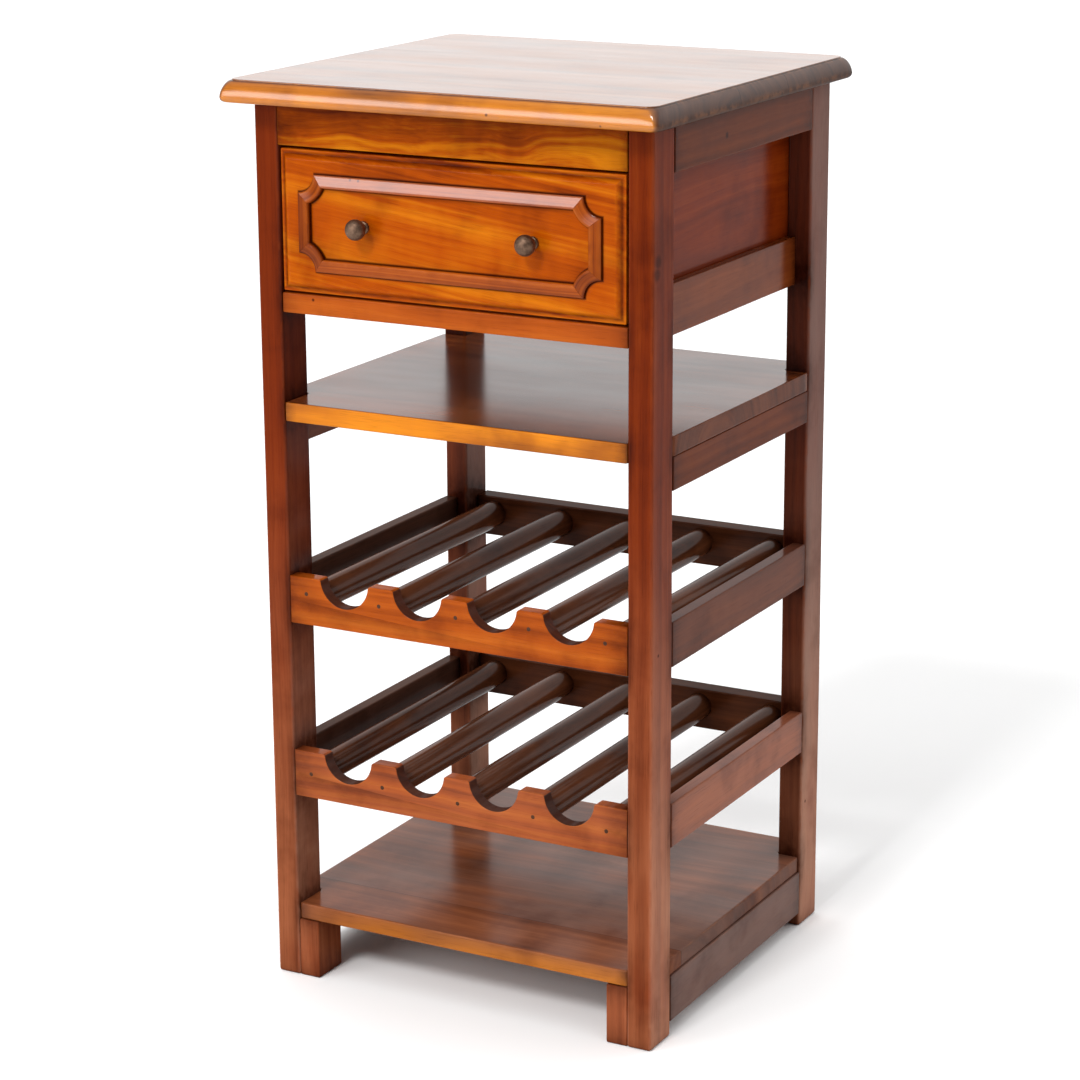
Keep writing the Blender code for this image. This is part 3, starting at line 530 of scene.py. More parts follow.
class Graph:
    """A material's nodes."""

    def __init__(self, tree):
        self.tree = tree

    def node(self, kind, settings, sockets, output=0):
        """Any node: its settings first, then a value or a wire for each socket that is named."""
        made = self.tree.nodes.new(kind)
        for key, value in settings.items():
            if key == "stops":
                self.stops(made.color_ramp, value)
            else:
                setattr(made, key, value)
        self.feed(made, sockets)
        return Wire(self, made.outputs[output])

    def stops(self, ramp, stops):
        """Give a colour ramp its stops, from (place, colour) pairs."""
        while len(ramp.elements) < len(stops):
            ramp.elements.new(1.0)
        for element, (place, colour) in zip(ramp.elements, stops):
            element.position = place
            element.color = (*colour, 1.0)

    def feed(self, made, sockets):
        """Set or link a node's sockets."""
        for key, value in sockets.items():
            if isinstance(value, Wire):
                self.tree.links.new(value.socket, made.inputs[key])
            else:
                made.inputs[key].default_value = value

    def math(self, operation, first, second):
        return self.node("ShaderNodeMath", {"operation": operation}, {0: first, 1: second})

    def vector(self, operation, *values, output=0):
        return self.node("ShaderNodeVectorMath", {"operation": operation}, dict(enumerate(values)), output)

    def here(self):
        """Where a point of the piece lies."""
        return self.node("ShaderNodeTexCoord", {}, {}, "Object")

    def field(self, name, output="Fac"):
        """A number or vector that the piece's points carry."""
        return self.node("ShaderNodeAttribute", {"attribute_name": name}, {}, output)

    def noise(self, vector, scales, detail, rough, output=0):
        """Smooth noise from 0 to 1, with so many features to the metre along each axis."""
        sockets = {"Vector": self.vector("MULTIPLY", vector, scales)}
        sockets |= {"Scale": 1.0, "Detail": detail, "Roughness": rough}
        return self.node("ShaderNodeTexNoise", {"noise_dimensions": "3D"}, sockets, output)

    def rise(self, value, low, high):
        """0 below one value, 1 above another, and a smooth step between."""
        sockets = {"Value": value, "From Min": low, "From Max": high}
        return self.node("ShaderNodeMapRange", {"interpolation_type": "SMOOTHSTEP"}, sockets)

    def mix(self, amount, first, second, blend="MIX"):
        """Two colours mixed."""
        settings = {"data_type": "RGBA", "blend_type": blend}
        opaque = [(*item, 1.0) if isinstance(item, tuple) else item for item in (first, second)]
        return self.node("ShaderNodeMix", settings, {0: amount, 6: opaque[0], 7: opaque[1]}, 2)

    def stained(self, colour, amount, stain):
        """A colour multiplied by a stain's, as far as the amount says."""
        return self.mix(amount, colour, stain, "MULTIPLY")

    def most(self, values):
        """The largest of several values."""
        total = values[0]
        for value in values[1:]:
            total = self.math("MAXIMUM", total, value)
        return total

    def marks(self, places, radius):
        """1 in the middle of each of some marks, given in millimetres, and 0 outside its radius."""
        here = self.here()
        spots = [tuple(value * MM for value in place) for place in places]
        far = [self.vector("DISTANCE", here, spot, output="Value") for spot in spots]
        return self.most([1 - self.rise(away, radius * 0.3, radius) for away in far])


def timber(slot, tones, bands, wave, varnish, **more):
    """A wood's looks: slot, tones, rings to the metre, how far they wave, weight of varnish, and more."""
    return {"slot": slot, "tones": tones, "bands": bands, "wave": wave, "varnish": varnish, **more}


FINISHES = {
    "golden_wood": timber("golden_wood", "rail", 34.0, 0.06, 0.24, sway=6.5, figure=1.35),
    "drawer_wood": timber("golden_wood", "golden", 42.0, 0.022, 0.24, sway=2.4, figure=1.1, dirt_line=True),
    "top_wood": timber(
        "golden_wood", "face", 60.0, 0.03, 1.0,
        seams=("seam_front", "seam_rear"), lip="lip", bend=1.7, end_shade=0.85,
    ),
    "rack_wood": timber("golden_wood", "rack", 65.0, 0.03, 0.4, figure=0.75, end_shade=0.95),
    "red_wood": timber("red_wood", "red", 60.0, 0.025, 0.4, figure=0.6),
    "post_wood": timber("red_wood", "red", 60.0, 0.02, 0.28, figure=0.65, lip="worn"),
    "shelf_wood": timber("red_wood", "shelf", 40.0, 0.03, 1.0, figure=0.8, lip="lip"),
    "low_shelf_wood": timber(
        "red_wood", "low", 40.0, 0.03, 0.75, figure=0.5, lip="lip", seams=("low_seam",), bloom=0.5,
    ),
    "brown_wood": timber("brown_wood", "brown", 55.0, 0.03, 0.55, figure=0.5),
    "bar_wood": timber("brown_wood", "smoky", 80.0, 0.02, 0.55, figure=0.6),
    "moulding_wood": timber(
        "brown_wood", "mould", 110.0, 0.01, 0.9, figure=0.7, bend=1.6, blur=0.2, relief=0.1,
    ),
    "dull_moulding_wood": timber(
        "brown_wood", "mould", 110.0, 0.01, 0.45, figure=0.8, bend=1.45, blur=0.2, relief=0.15,
    ),
    "pale_wood": timber("pale_wood", "pale", 80.0, 0.02, 0.0),
    "bronze": {"slot": "bronze", "metallic": 0.85},
    "steel": {"slot": "steel", "metallic": 0.9},
    "pin_metal": {"slot": "steel", "metallic": 0.15},
}

# Nicks, knots and nail marks: places in millimetres, radius in millimetres, and depth of tone
MARKS = {
    "golden_wood": (
        (((-152.0, -187.0, 705.5), (59.7, -219.5, 900.4)), 2.2, 0.85),
        (((175.7, -219.0, 897.5),), 1.8, 0.8),
    ),
    "red_wood": (
        (((213.0, -174.9, 397.5), (213.0, 175.4, 137.3)), 2.4, 0.8),
        (((213.0, -178.0, 771.0), (213.0, -180.0, 760.0)), 9.0, 0.6),
    ),
    "brown_wood": (
        (((213.0, -34.4, 868.1),), 4.5, 0.8),
        (((-94.0, -194.0, 825.7), (-103.0, -194.0, 826.0)), 2.0, 0.7),
    ),
}

TONE_STOPS = ((0.26, "dark"), (0.50, "middle"), (0.74, "light"))  # where each tone lies in the figure
BOARD_JUMP = (7.3, 0.07, 0.03)  # how far apart in the tree two boards of one panel lay

# Features to the metre along each axis, detail and roughness of each noise
NOISES = {
    "streaks": ((8.0, 360.0, 360.0), 3.0, 0.6),
    "clouds": ((7.0, 22.0, 22.0), 2.0, 0.5),
    "ripple": ((55.0, 16.0, 16.0), 1.0, 0.5),
    "pores": ((38.0, 1500.0, 1500.0), 2.0, 0.5),
    "scuffs": ((60.0, 90.0, 90.0), 3.0, 0.6),
    "patina": ((11.0, 11.0, 11.0), 4.0, 0.6),
    "haze": ((6.0, 13.0, 6.0), 3.0, 0.5),
    "mottle": ((420.0, 420.0, 420.0), 4.0, 0.65),
    "patch": ((110.0, 110.0, 110.0), 2.0, 0.5),
    "tooth": ((9.0, 9.0, 9.0), 2.0, 0.5),
}

# Tints that lie over the wood
# Lighter tint: the posts' side faces towards the floor, and the lower rack's right side rail
PALER = (1.85, 1.80, 1.60)
PATINA = (0.50, 0.40, 0.36)
# Stain, and painted shade on boards that lie in shade
STAIN_AND_SHADE_TINT = (0.62, 0.55, 0.50)
PORE = (0.25, 0.16, 0.12)
END_GRAIN = (0.30, 0.26, 0.26)
# Painted shade and dirt: darkens nooks, joints and the foot of steps
SHADE_AND_GRIME = (0.22, 0.15, 0.12)
SEAM = (0.2, 0.12, 0.1)
# Dark tint of nicks and marks, also of the painted shadow line round the drawer's moulding
MARK_AND_SHADOW = (0.10, 0.06, 0.05)


def blank(title):
    """A new material, its graph and its shader node."""
    material = bpy.data.materials.new(title)
    material.use_nodes = True
    return material, Graph(material.node_tree), material.node_tree.nodes["Principled BSDF"]


def finish_named(name):
    """The finish of that name, made the first time that a piece asks for it."""
    title = f"finish_{name}"
    known = bpy.data.materials.get(title)
    if known:
        return known
    material, graph, shader = blank(title)
    if "tones" in FINISHES[name]:
        wood(graph, shader, FINISHES[name])
    else:
        metal(graph, shader, name)
    return material


def wood(graph, shader, look):
    """Varnished wood.

    The figure is a noise of the distance from the tree's heart, which a slow noise bends along the
    board. Fine streaks, broad clouds of tone and dark pores lie over it. End grain is darker, dirt and
    painted shade darken the joints and nooks, and the arrises are rubbed.
    """
    woods = bpy.context.scene.wine_table_woods

    def ramp(tones, value):
        """A wood's three tones, from dark to light, spread over the figure."""
        stops = [(place, tuple(getattr(woods, f"{tones}_{tone}"))) for place, tone in TONE_STOPS]
        return graph.node("ShaderNodeValToRGB", {"stops": stops}, {0: value})

    grain = graph.field("grain", "Vector")
    here = graph.here()
    seams = [getattr(bpy.context.scene.wine_table_shapes, name) for name in look.get("seams", ())]
    if seams:
        back = graph.node("ShaderNodeSeparateXYZ", {}, {0: here}, 1)
        plank = back > seams[0]
        for seam in seams[1:]:
            plank = plank + (back > seam)
        jump = {axis: plank * far for axis, far in enumerate(BOARD_JUMP)}
        grain = graph.vector("ADD", grain, graph.node("ShaderNodeCombineXYZ", {}, jump))

    bend = graph.noise(grain, (look.get("sway", 3.2), 7.0, 7.0), 2.0, 0.5, 1)
    bent = graph.vector("MULTIPLY_ADD", bend, (0.0, look["wave"], look["wave"]), grain)
    from_heart = graph.vector("LENGTH", graph.vector("MULTIPLY", bent, (0.0, 1.0, 1.0)), output="Value")
    rings = {"W": from_heart, "Scale": look["bands"], "Detail": 3.0, "Roughness": 0.6}
    bands = graph.node("ShaderNodeTexNoise", {"noise_dimensions": "1D"}, rings)
    streaks = graph.noise(bent, *NOISES["streaks"])
    clouds = graph.noise(grain, *NOISES["clouds"])
    ripple = graph.noise(bent, *NOISES["ripple"])
    pores = graph.rise(graph.noise(grain, *NOISES["pores"]), 0.56, 0.70)
    scuffs = graph.noise(grain, *NOISES["scuffs"])
    patina = graph.rise(graph.noise(here, *NOISES["patina"]), 0.48, 0.72)
    lip, tone, ends, nook = (graph.field(name) for name in ("lip", "tone", "ends", "nook"))

    contrast = look.get("figure", 1.0)
    figure = bands * 1.10 + streaks * 0.22 + clouds * 0.42 + ripple * 0.10 - 0.42
    figure = figure * contrast + 0.5 * (1 - contrast)
    colour = ramp(look["tones"], figure)
    if "lip" in look:
        colour = graph.mix(lip * graph.rise(clouds, 0.1, 0.55), colour, ramp(look["lip"], figure))
    # Grey of dust, and painted sheen on side faces
    colour = graph.mix(graph.field("dust") * (clouds + 0.5), colour, tuple(woods.dust))
    colour = graph.stained(colour, graph.field("fade"), PALER)
    if "bloom" in look:
        haze = graph.rise(graph.noise(here, *NOISES["haze"]), 0.30, 0.68)
        colour = graph.mix(haze * (plank * 0.8 + 0.2) * look["bloom"], colour, tuple(woods.dust))
    colour = graph.stained(colour, patina * 0.65, PATINA)
    # Stain, and painted shade on some boards and faces
    colour = graph.stained(colour, tone, STAIN_AND_SHADE_TINT)
    colour = graph.stained(colour, pores * 0.3, PORE)
    colour = graph.stained(colour, ends * look.get("end_shade", 0.45), END_GRAIN)
    # Painted shade and dirt where parts meet and in nooks
    colour = graph.stained(colour, nook * (scuffs + 0.25), SHADE_AND_GRIME)
    rubbed = graph.field("wear") * graph.rise(scuffs, 0.42, 0.68)
    colour = graph.mix(rubbed * 0.3, colour, tuple(getattr(woods, f"{look['tones']}_light")))
    for seam in seams:
        line = 1 - graph.rise(abs(back - seam), 0.15 * MM, 0.7 * MM)
        colour = graph.stained(colour, line * 0.75, SEAM)
    if look.get("dirt_line"):
        # Dark line of dirt and painted shadow round the moulding
        colour = graph.stained(colour, moulding_dirt_and_shadow(graph, here) * 0.9, MARK_AND_SHADOW)
    for places, size, depth in MARKS.get(look["slot"], ()):
        colour = graph.stained(colour, graph.marks(places, size * MM) * depth, MARK_AND_SHADOW)

    bare = look["varnish"] == 0.0
    coat = 0.0
    if not bare:
        coat = (1 - ends * 0.5) * (1 - clouds * 0.3) * (1 - lip * 0.4) * (1 - tone * 0.6)
        coat = coat * (1.15 * look["varnish"] * woods.varnish)
    relief = {"Strength": look.get("relief", 0.35), "Distance": 0.12 * MM}
    relief["Height"] = streaks * 0.5 + pores * -0.7 + scuffs * 0.35
    graph.feed(shader, {
        "Base Color": colour,
        "Roughness": (0.62 if bare else 0.34) + scuffs * 0.14 + ends * 0.12 + nook * 0.1,
        "Normal": graph.node("ShaderNodeBump", {}, relief),
        "Specular IOR Level": 0.25 if bare else 0.0,
        "Coat Weight": coat,
        "Coat Roughness": look.get("blur", woods.varnish_rough),
        "Coat IOR": look.get("bend", woods.varnish_bend),
    })


def moulding_dirt_and_shadow(graph, here):
    """Dark line of dirt and painted shadow where the moulding meets the drawer front: 1 on its outer and
    inner outline.

    Each outline is a rectangle with quarter circles taken out about the corners of the outer one. A
    point's distance from it is the larger of the distances past its sides and into its circles.
    """
    shapes = bpy.context.scene.wine_table_shapes
    half, tall, middle = moulding_frame()
    split = graph.node("ShaderNodeSeparateXYZ", {}, {0: here})
    x, z = abs(split), abs(split.beside(2) - middle)
    offset = graph.node("ShaderNodeCombineXYZ", {}, {0: half - x, 1: tall - z})
    far = graph.vector("LENGTH", offset, output="Value")
    lines = []
    for inset in (0.0, shapes.mould_width):
        past = graph.most([x - (half - inset), z - (tall - inset), shapes.hollow + inset - far])
        lines.append(1 - graph.rise(abs(past), 0.6 * MM, 2.3 * MM))
    return graph.most(lines)


def metal(graph, shader, name):
    """Metal with a mottled skin, rubbed brighter in places."""
    woods = bpy.context.scene.wine_table_woods
    here = graph.here()
    mottle = graph.noise(here, *NOISES["mottle"])
    patch = graph.noise(here, *NOISES["patch"])
    rubbed = graph.rise(mottle * 0.5 + patch * 0.5, 0.34, 0.74)
    relief = {"Strength": 0.3, "Distance": 0.1 * MM, "Height": mottle}
    metallic = FINISHES[name]["metallic"]
    graph.feed(shader, {
        "Base Color": graph.mix(rubbed, tuple(getattr(woods, name)), tuple(getattr(woods, f"{name}_worn"))),
        "Roughness": 0.36 + mottle * 0.25,
        "Metallic": metallic,
        "Specular IOR Level": metallic / 2,
        "Normal": graph.node("ShaderNodeBump", {}, relief),
    })


class WINETABLE_OT_top(bpy.types.Operator):
    """Top with its moulded edge"""

    bl_idname = "wine_table.top"
    bl_label = "Make the top"

    def execute(self, context):
        """Rounded rectangles carried up the edge: under the nose, out over the ovolo and in at the step.

        Under the nose the edge is a quarter ellipse. Over it the ovolo rises to the ledge: sine and cosine
        to a power a little over one, so that it is flatter than an ellipse.
        """
        s = context.scene.wine_table_shapes
        low, high = corners("top")
        thick = high[2] - low[2]
        turn = np.linspace(0.0, QUARTER, 13)
        fine, inside = 0.25 * MM, -40 * MM
        out_under = s.edge_out - s.nose_round * (1 - np.sin(turn))
        drop_under = thick - (thick - s.nose_drop) * (1 - np.cos(turn))
        out_over = s.edge_ledge + (s.edge_out - s.edge_ledge) * np.cos(turn[1:]).clip(0.0) ** OVOLO_POWER
        drop_over = s.nose_drop - (s.nose_drop - s.edge_step) * np.sin(turn[1:]) ** OVOLO_POWER
        out_face = [fine, 0.0, 0.0, 0.0, -fine, -2 * fine, -8 * fine, inside]
        drop_face = [s.edge_step, s.edge_step - fine, s.edge_step / 2, fine, 0.0, 0.0, 0.0, 0.0]
        out = np.concatenate([[inside, out_under[0] - 2 * MM], out_under, out_over, out_face])
        drop = np.concatenate([[thick, thick], drop_under, drop_over, drop_face])
        half = (high - low) / 2 - s.edge_out
        radius = s.corner_face + (s.corner_nose - s.corner_face) * np.clip(out / s.edge_out, 0.0, 1.0)
        loops = rounded_rings(half[0] + out, half[1] + out, radius)
        points = lofted(loops + (low[:2] + high[:2]) / 2, 2, high[2] - drop)
        drop = drop[:, None]
        on_edge = (drop > fine) & (drop < thick - fine)
        facing = side_facing()
        fall = np.clip((drop - 4 * MM) / (thick - 8 * MM), 0.0, 1.0)
        brow = bell(drop, 5 * MM, 4 * MM) + bell(drop, thick, 4 * MM)
        x, y, z = np.moveaxis(points, -1, 0)
        fields = {
            # Darker and less glossy on the upper ovolo, painted shade under the nose, and the ends darker
            # towards the bottom
            "tone": on_edge * (0.5 * brow * (1 - facing) + fall * facing),
            "grain": in_tree(x, y, z - low[2], seeded("top"), (30.0, 60.0)),
            "wear": on_edge * (bell(drop, s.edge_step, 1.2 * MM) + bell(drop, s.nose_drop, 3 * MM)),
            "ends": on_edge * facing,
            "lip": 0.78 * on_edge * (1 - facing),
            "dust": 0.4 * on_edge * facing,
            # Painted shadow line under the small step of the top's face, weaker on the ends
            "nook": 1.4 * bell(drop, s.edge_step, 0.9 * MM) * (1 - 0.7 * facing),
        }
        piece("top", points, fields, "top_wood")
        return {"FINISHED"}


class WINETABLE_OT_posts(bpy.types.Operator):
    """Four posts from the floor to the top"""

    bl_idname = "wine_table.posts"
    bl_label = "Make the posts"

    def joint_shade_and_dirt(self, points, low, high):
        """Painted shade and dirt where boards meet a post: on its inner faces it dies away exponentially past
        each board.
        """
        spans = np.array([[corner[2] for corner in corners(node)] for node in JOINED])
        z = points[..., 2, None]
        past = np.maximum(spans[:, 0] - z, z - spans[:, 1]).clip(0.0).min(axis=-1)
        middle = (low + high) / 2
        inward = np.sign(middle) * (middle - points) / (high - low) * 2
        inner = np.clip(inward[..., :2].max(axis=-1), 0.0, 1.0) ** 2
        return 1.25 * inner * np.exp(-past / (2.5 * NOOK_REACH))

    def worn(self, points):
        """How far the stain has worn off a post: it grows as a cosine from knee height to the floor."""
        return 0.42 * (1 + np.cos(math.pi * np.clip(points[..., 2] / KNEE_HEIGHT, 0.0, 1.0)))

    def execute(self, context):
        s = context.scene.wine_table_shapes
        aside = side_facing()
        for end in ("front", "rear"):
            for side in SIDES:
                node = f"post_{end}_{side}"
                low, high = corners(node)
                points, fields = board(node, low, high, 2, s.post_round, wander=s.wander * 2)
                worn = self.worn(points)
                # Painted shade and dirt at the post's ends and where boards meet it
                fields["nook"] = np.maximum(fields["nook"] * 0.6, self.joint_shade_and_dirt(points, low, high))
                fields["lip"] = worn
                # Side faces lighter towards the floor
                fields["fade"] = 1.15 * worn * aside
                if end == "rear":
                    # Painted shade on the rear posts' front and back faces, which the front of the frame
                    # shades
                    fields["tone"] = 1.0 - 0.85 * aside
                    # Grey on the side faces: dust, and painted sheen
                    fields["dust"] = 0.2 + 0.45 * aside
                else:
                    fields["tone"] = STAIN_AND_SHADE[node] * (1 - 0.6 * aside)
                    # Grey on the side faces, more towards the floor: dust, and painted sheen
                    fields["dust"] = (0.08 + 0.5 * worn) * aside
                piece(node, points, fields, "post_wood")
        return {"FINISHED"}


class WINETABLE_OT_case(bpy.types.Operator):
    """Rails, panels and runners round the drawer"""

    bl_idname = "wine_table.case"
    bl_label = "Make the drawer case"

    def execute(self, context):
        s = context.scene.wine_table_shapes
        rails = [
            ("rail_top_front", 0, "golden_wood", (25.0, 45.0)),
            ("rail_top_rear", 0, "brown_wood", (40.0, 90.0)),
            ("drawer_rail", 0, "rack_wood", (60.0, 120.0)),
            ("back_panel", 0, "brown_wood", (25.0, 50.0)),
        ]
        for side in SIDES:
            rails += [
                (f"rail_top_{side}", 1, "brown_wood", (40.0, 90.0)),
                (f"rail_low_{side}", 1, "brown_wood", (40.0, 90.0)),
                (f"side_panel_{side}", 1, "red_wood", (25.0, 60.0)),
                (f"runner_{side}", 1, "pale_wood", (40.0, 90.0)),
            ]
        for node, axis, finish, heart in rails:
            low, high = corners(node)
            if node.startswith(("side_panel", "runner")):
                points, fields = board(node, low, high, axis, s.thin_round, heart, s.wander)
            else:
                points, fields = rail(s, node, axis, heart)
            if node.startswith("rail_top"):
                # Painted shade under the top's overhang, darkest at the rail's upper edge
                overhang = np.exp((points[..., 2] - high[2]) / s.overhang_shade)
                fields["nook"] = np.maximum(fields["nook"], overhang)
            piece(node, points, fields, finish)
        return {"FINISHED"}


class WINETABLE_OT_drawer(bpy.types.Operator):
    """Drawer front with its raised field, and the box behind it"""

    bl_idname = "wine_table.drawer"
    bl_label = "Make the drawer"

    def execute(self, context):
        """The front is a rectangle drawn in along its depth: straight sides, a flat margin and a slope."""
        s = context.scene.wine_table_shapes
        low, high = corners("drawer_front")
        size, middle = high - low, (low + high) / 2
        deep, margin, field = size[1], s.field_margin, s.field_margin + s.field_slope
        path = [
            (0.0, 12 * MM), (0.0, 0.0), (deep - FIELD_RISE, 0.0), (deep - FIELD_RISE, margin), (deep, field),
            (deep, field + 4 * MM),
        ]
        route = eased(path, np.array([1.0, 1.1, 0.7, 1.5]) * MM)
        along, inset = np.concatenate([route, [[deep, field + 7 * MM]]]).T
        rounding = np.maximum(1.2 * MM - inset, SMALLEST_ROUND)
        loops = rounded_rings(size[0] / 2 - inset, size[2] / 2 - inset, rounding)
        points = lofted(loops + middle[[0, 2]], 1, high[1] - along)
        along, inset = along[:, None], inset[:, None]
        x, y, z = np.moveaxis(points, -1, 0)
        fields = {
            "grain": in_tree(x, z - middle[2], y - low[1], seeded("drawer_front"), (12.0, 20.0), 0.13),
            "wear": 0.8 * (bell(inset, field, 1.5 * MM) + bell(inset, 0.0, 1.0 * MM)),
            "ends": (inset < 0.5 * MM) * side_facing(),
            # Painted shade at the foot of the raised field's slope
            "nook": bell(inset, margin, 1.6 * MM) * (along > deep - FIELD_RISE - MM),
        }
        piece("drawer_front", points, fields, "drawer_wood", "drawer")
        front_back = high[1]
        inner = corners("drawer_side_right")[0][0]
        boxes = (("drawer_side_left", 1), ("drawer_side_right", 1), ("drawer_back", 0), ("drawer_bottom", 0))
        for node, axis in boxes:
            low, high = clipped(node, 1, (front_back, math.inf))
            if axis == 0:
                low[0], high[0] = -inner, inner
            points, fields = board(node, low, high, axis, s.thin_round, (30.0, 70.0), s.wander)
            piece(node, points, fields, "pale_wood", "drawer")
        return {"FINISHED"}


class WINETABLE_OT_moulding(bpy.types.Operator):
    """Applied moulding on the drawer front, with hollow corners"""

    bl_idname = "wine_table.moulding"
    bl_label = "Make the moulding"

    def execute(self, context):
        """A section carried along four straights and four arcs about the corners of the outer rectangle.

        Each straight stops on a slanting mitre line, and each arc starts where its circle meets that line.
        """
        s = context.scene.wine_table_shapes
        top_low, top_high = corners("moulding_top")
        seat, crest = top_high[1], top_high[1] - top_low[1]
        half, tall, middle_z = moulding_frame()
        width, hollow, gap = s.mould_width, s.hollow, s.gap / 2
        path = [(0.0, 0.0), (0.0, 0.46), (0.08, 0.575), (0.40, 0.75), (0.80, 0.97), (0.91, 0.97), (1.0, 0.70)]
        path = np.array(path + [(1.0, 0.0)]) * (width, crest)
        w, h = eased(path, np.array([0.3, 0.3, 1.0, 0.5, 0.4, 0.5]) * MM).T
        lean = math.sqrt((hollow + width) ** 2 - width**2) - hollow
        sink = np.exp(-w / (1.5 * MM)) + np.exp(-(width - w) / (0.8 * MM))

        def fields(node, along):
            return {
                "grain": in_tree(along, w, h, seeded(node), (60.0, 90.0)),
                "wear": bell(w / width, 0.85, 0.12),
                # Painted shade and dirt at the moulding's low outer and inner edges
                "nook": np.clip(sink * (1 - h / crest) * 1.2, 0.0, 1.0),
            }

        close = np.array([0.0, 0.002, 0.008])
        steps = np.concatenate([close, np.linspace(0.02, 0.98, 15), 1 - close[::-1]])[:, None]
        straights = (("top", half, tall), ("left", tall, half), ("bottom", half, tall), ("right", tall, half))
        for turns, (name, reach, out) in enumerate(straights):
            along = (2 * steps - 1) * (reach - hollow - lean * w / width - gap)
            off = np.broadcast_to(out - w, along.shape)
            c, n = round(math.cos(turns * QUARTER)), round(math.sin(turns * QUARTER))
            x, z = along * c - off * n, along * n + off * c
            points = np.stack([x, np.broadcast_to(seat - h, x.shape), middle_z + z], axis=-1)
            finish = "moulding_wood" if name == "top" else "dull_moulding_wood"
            piece(f"moulding_{name}", points, fields(f"moulding_{name}", along), finish, "drawer")

        round_w = hollow + w
        a, b = lean**2 + width**2, 2 * hollow * lean
        step = (-b + np.sqrt(b**2 - 4 * a * (hollow**2 - round_w**2))) / (2 * a)
        first = np.arctan2(width * step, hollow + lean * step) + gap / round_w
        angle = first + (QUARTER - 2 * first) * steps
        x, z = half - round_w * np.cos(angle), tall - round_w * np.sin(angle)
        y = np.broadcast_to(seat - h, x.shape)
        for side, sign_x in (("left", -1), ("right", 1)):
            for end, sign_z in (("top", 1), ("bottom", -1)):
                node = f"moulding_corner_{end}_{side}"
                points = np.stack([sign_x * x, y, middle_z + sign_z * z], axis=-1)
                piece(node, points, fields(node, angle * hollow), "dull_moulding_wood", "drawer")
        return {"FINISHED"}


class WINETABLE_OT_knobs(bpy.types.Operator):
    """Turned knobs, and the screws that hold them from inside"""

    bl_idname = "wine_table.knobs"
    bl_label = "Make the knobs"

    def execute(self, context):
        """A section of distance from the drawer and radius, turned about the knob's axis."""
        path = np.array([
            (0.0, 0.30), (0.0, 0.60), (0.05, 0.62), (0.11, 0.60), (0.14, 0.46), (0.22, 0.43), (0.33, 0.46),
            (0.40, 0.72), (0.50, 0.93), (0.66, 1.0), (0.80, 0.91), (0.91, 0.68), (0.98, 0.34), (1.0, 0.06),
        ])
        setback = np.array([0.2, 0.3, 0.3, 0.5, 0.8, 0.9, 0.9, 1.2, 1.7, 1.5, 1.2, 0.9]) * MM
        for side in SIDES:
            low, high = corners(f"knob_{side}")
            size, middle = high - low, (low + high) / 2
            route = eased(path * (size[1], size[0] / 2), setback)
            points = turned(route[:, 1:], high[1] - route[:, :1], middle)
            piece(f"knob_{side}", points, {}, "bronze", "drawer")
            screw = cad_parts[f"knob_screw_{side}"]
            screw.data.materials.clear()
            screw.data.materials.append(finish_named("steel"))
        return {"FINISHED"}


class WINETABLE_OT_shelves(bpy.types.Operator):
    """Middle and bottom shelves, their bearers and the foot blocks"""

    bl_idname = "wine_table.shelves"
    bl_label = "Make the shelves"

    def shelf(self, s, node, finish):
        """A shelf is its outline, cut away round the posts, carried up through its thickness.

        The bottom shelf's front edge is paler towards its foot and away from its left end.
        """
        (_, reach), (near, back) = clear_spans(s.gap)
        low, high = corners(node)
        right = [
            (reach, low[1]), (reach, near), (high[0], near), (high[0], back), (reach, back), (reach, high[1]),
        ]
        outline = filleted(np.array(right + [(-x, y) for x, y in reversed(right)]), s.shelf_corner)
        along, inset, _ = stations(high[2] - low[2], s.shelf_round)
        points = lofted(drawn_in(outline, inset), 2, low[2] + along)
        x, y, z = np.moveaxis(points, -1, 0)
        front = np.clip((low[1] + 1.2 * MM - y) / (0.8 * MM), 0.0, 1.0)
        lip = front
        if node == "bottom_shelf":
            rubbed = np.clip((x + reach) / DULL_END, 0.2, 1.0)
            lip = front * (0.75 - 0.6 * (z - low[2]) / (high[2] - low[2])) * rubbed
        fields = {
            "grain": in_tree(x, y, z - low[2], seeded(node), (28.0, 60.0)),
            "wear": np.sin(math.pi * np.clip(inset / s.shelf_round, 0.0, 1.0))[:, None],
            "ends": np.clip(np.abs(x) / MM - high[0] / MM + 1.2, 0.0, 1.0),
            "lip": lip,
            # Painted shade and dirt along the front edge next to each post
            "nook": front * bell(np.abs(x), reach, POST_SHADE_AND_GRIME),
        }
        piece(node, points, fields, finish)

    def execute(self, context):
        s = context.scene.wine_table_shapes
        self.shelf(s, "middle_shelf", "shelf_wood")
        self.shelf(s, "bottom_shelf", "low_shelf_wood")
        for side in SIDES:
            for node, dust in ((f"middle_bearer_{side}", 0.0), (f"bottom_bearer_{side}", 0.6)):
                points, fields = rail(s, node, 1)
                piece(node, points, {**fields, "dust": dust}, "brown_wood")
            node = f"foot_block_{side}"
            points, fields = board(node, *corners(node), 2, s.shelf_round)
            piece(node, points, {**fields, "lip": 0.58}, "post_wood")
        return {"FINISHED"}


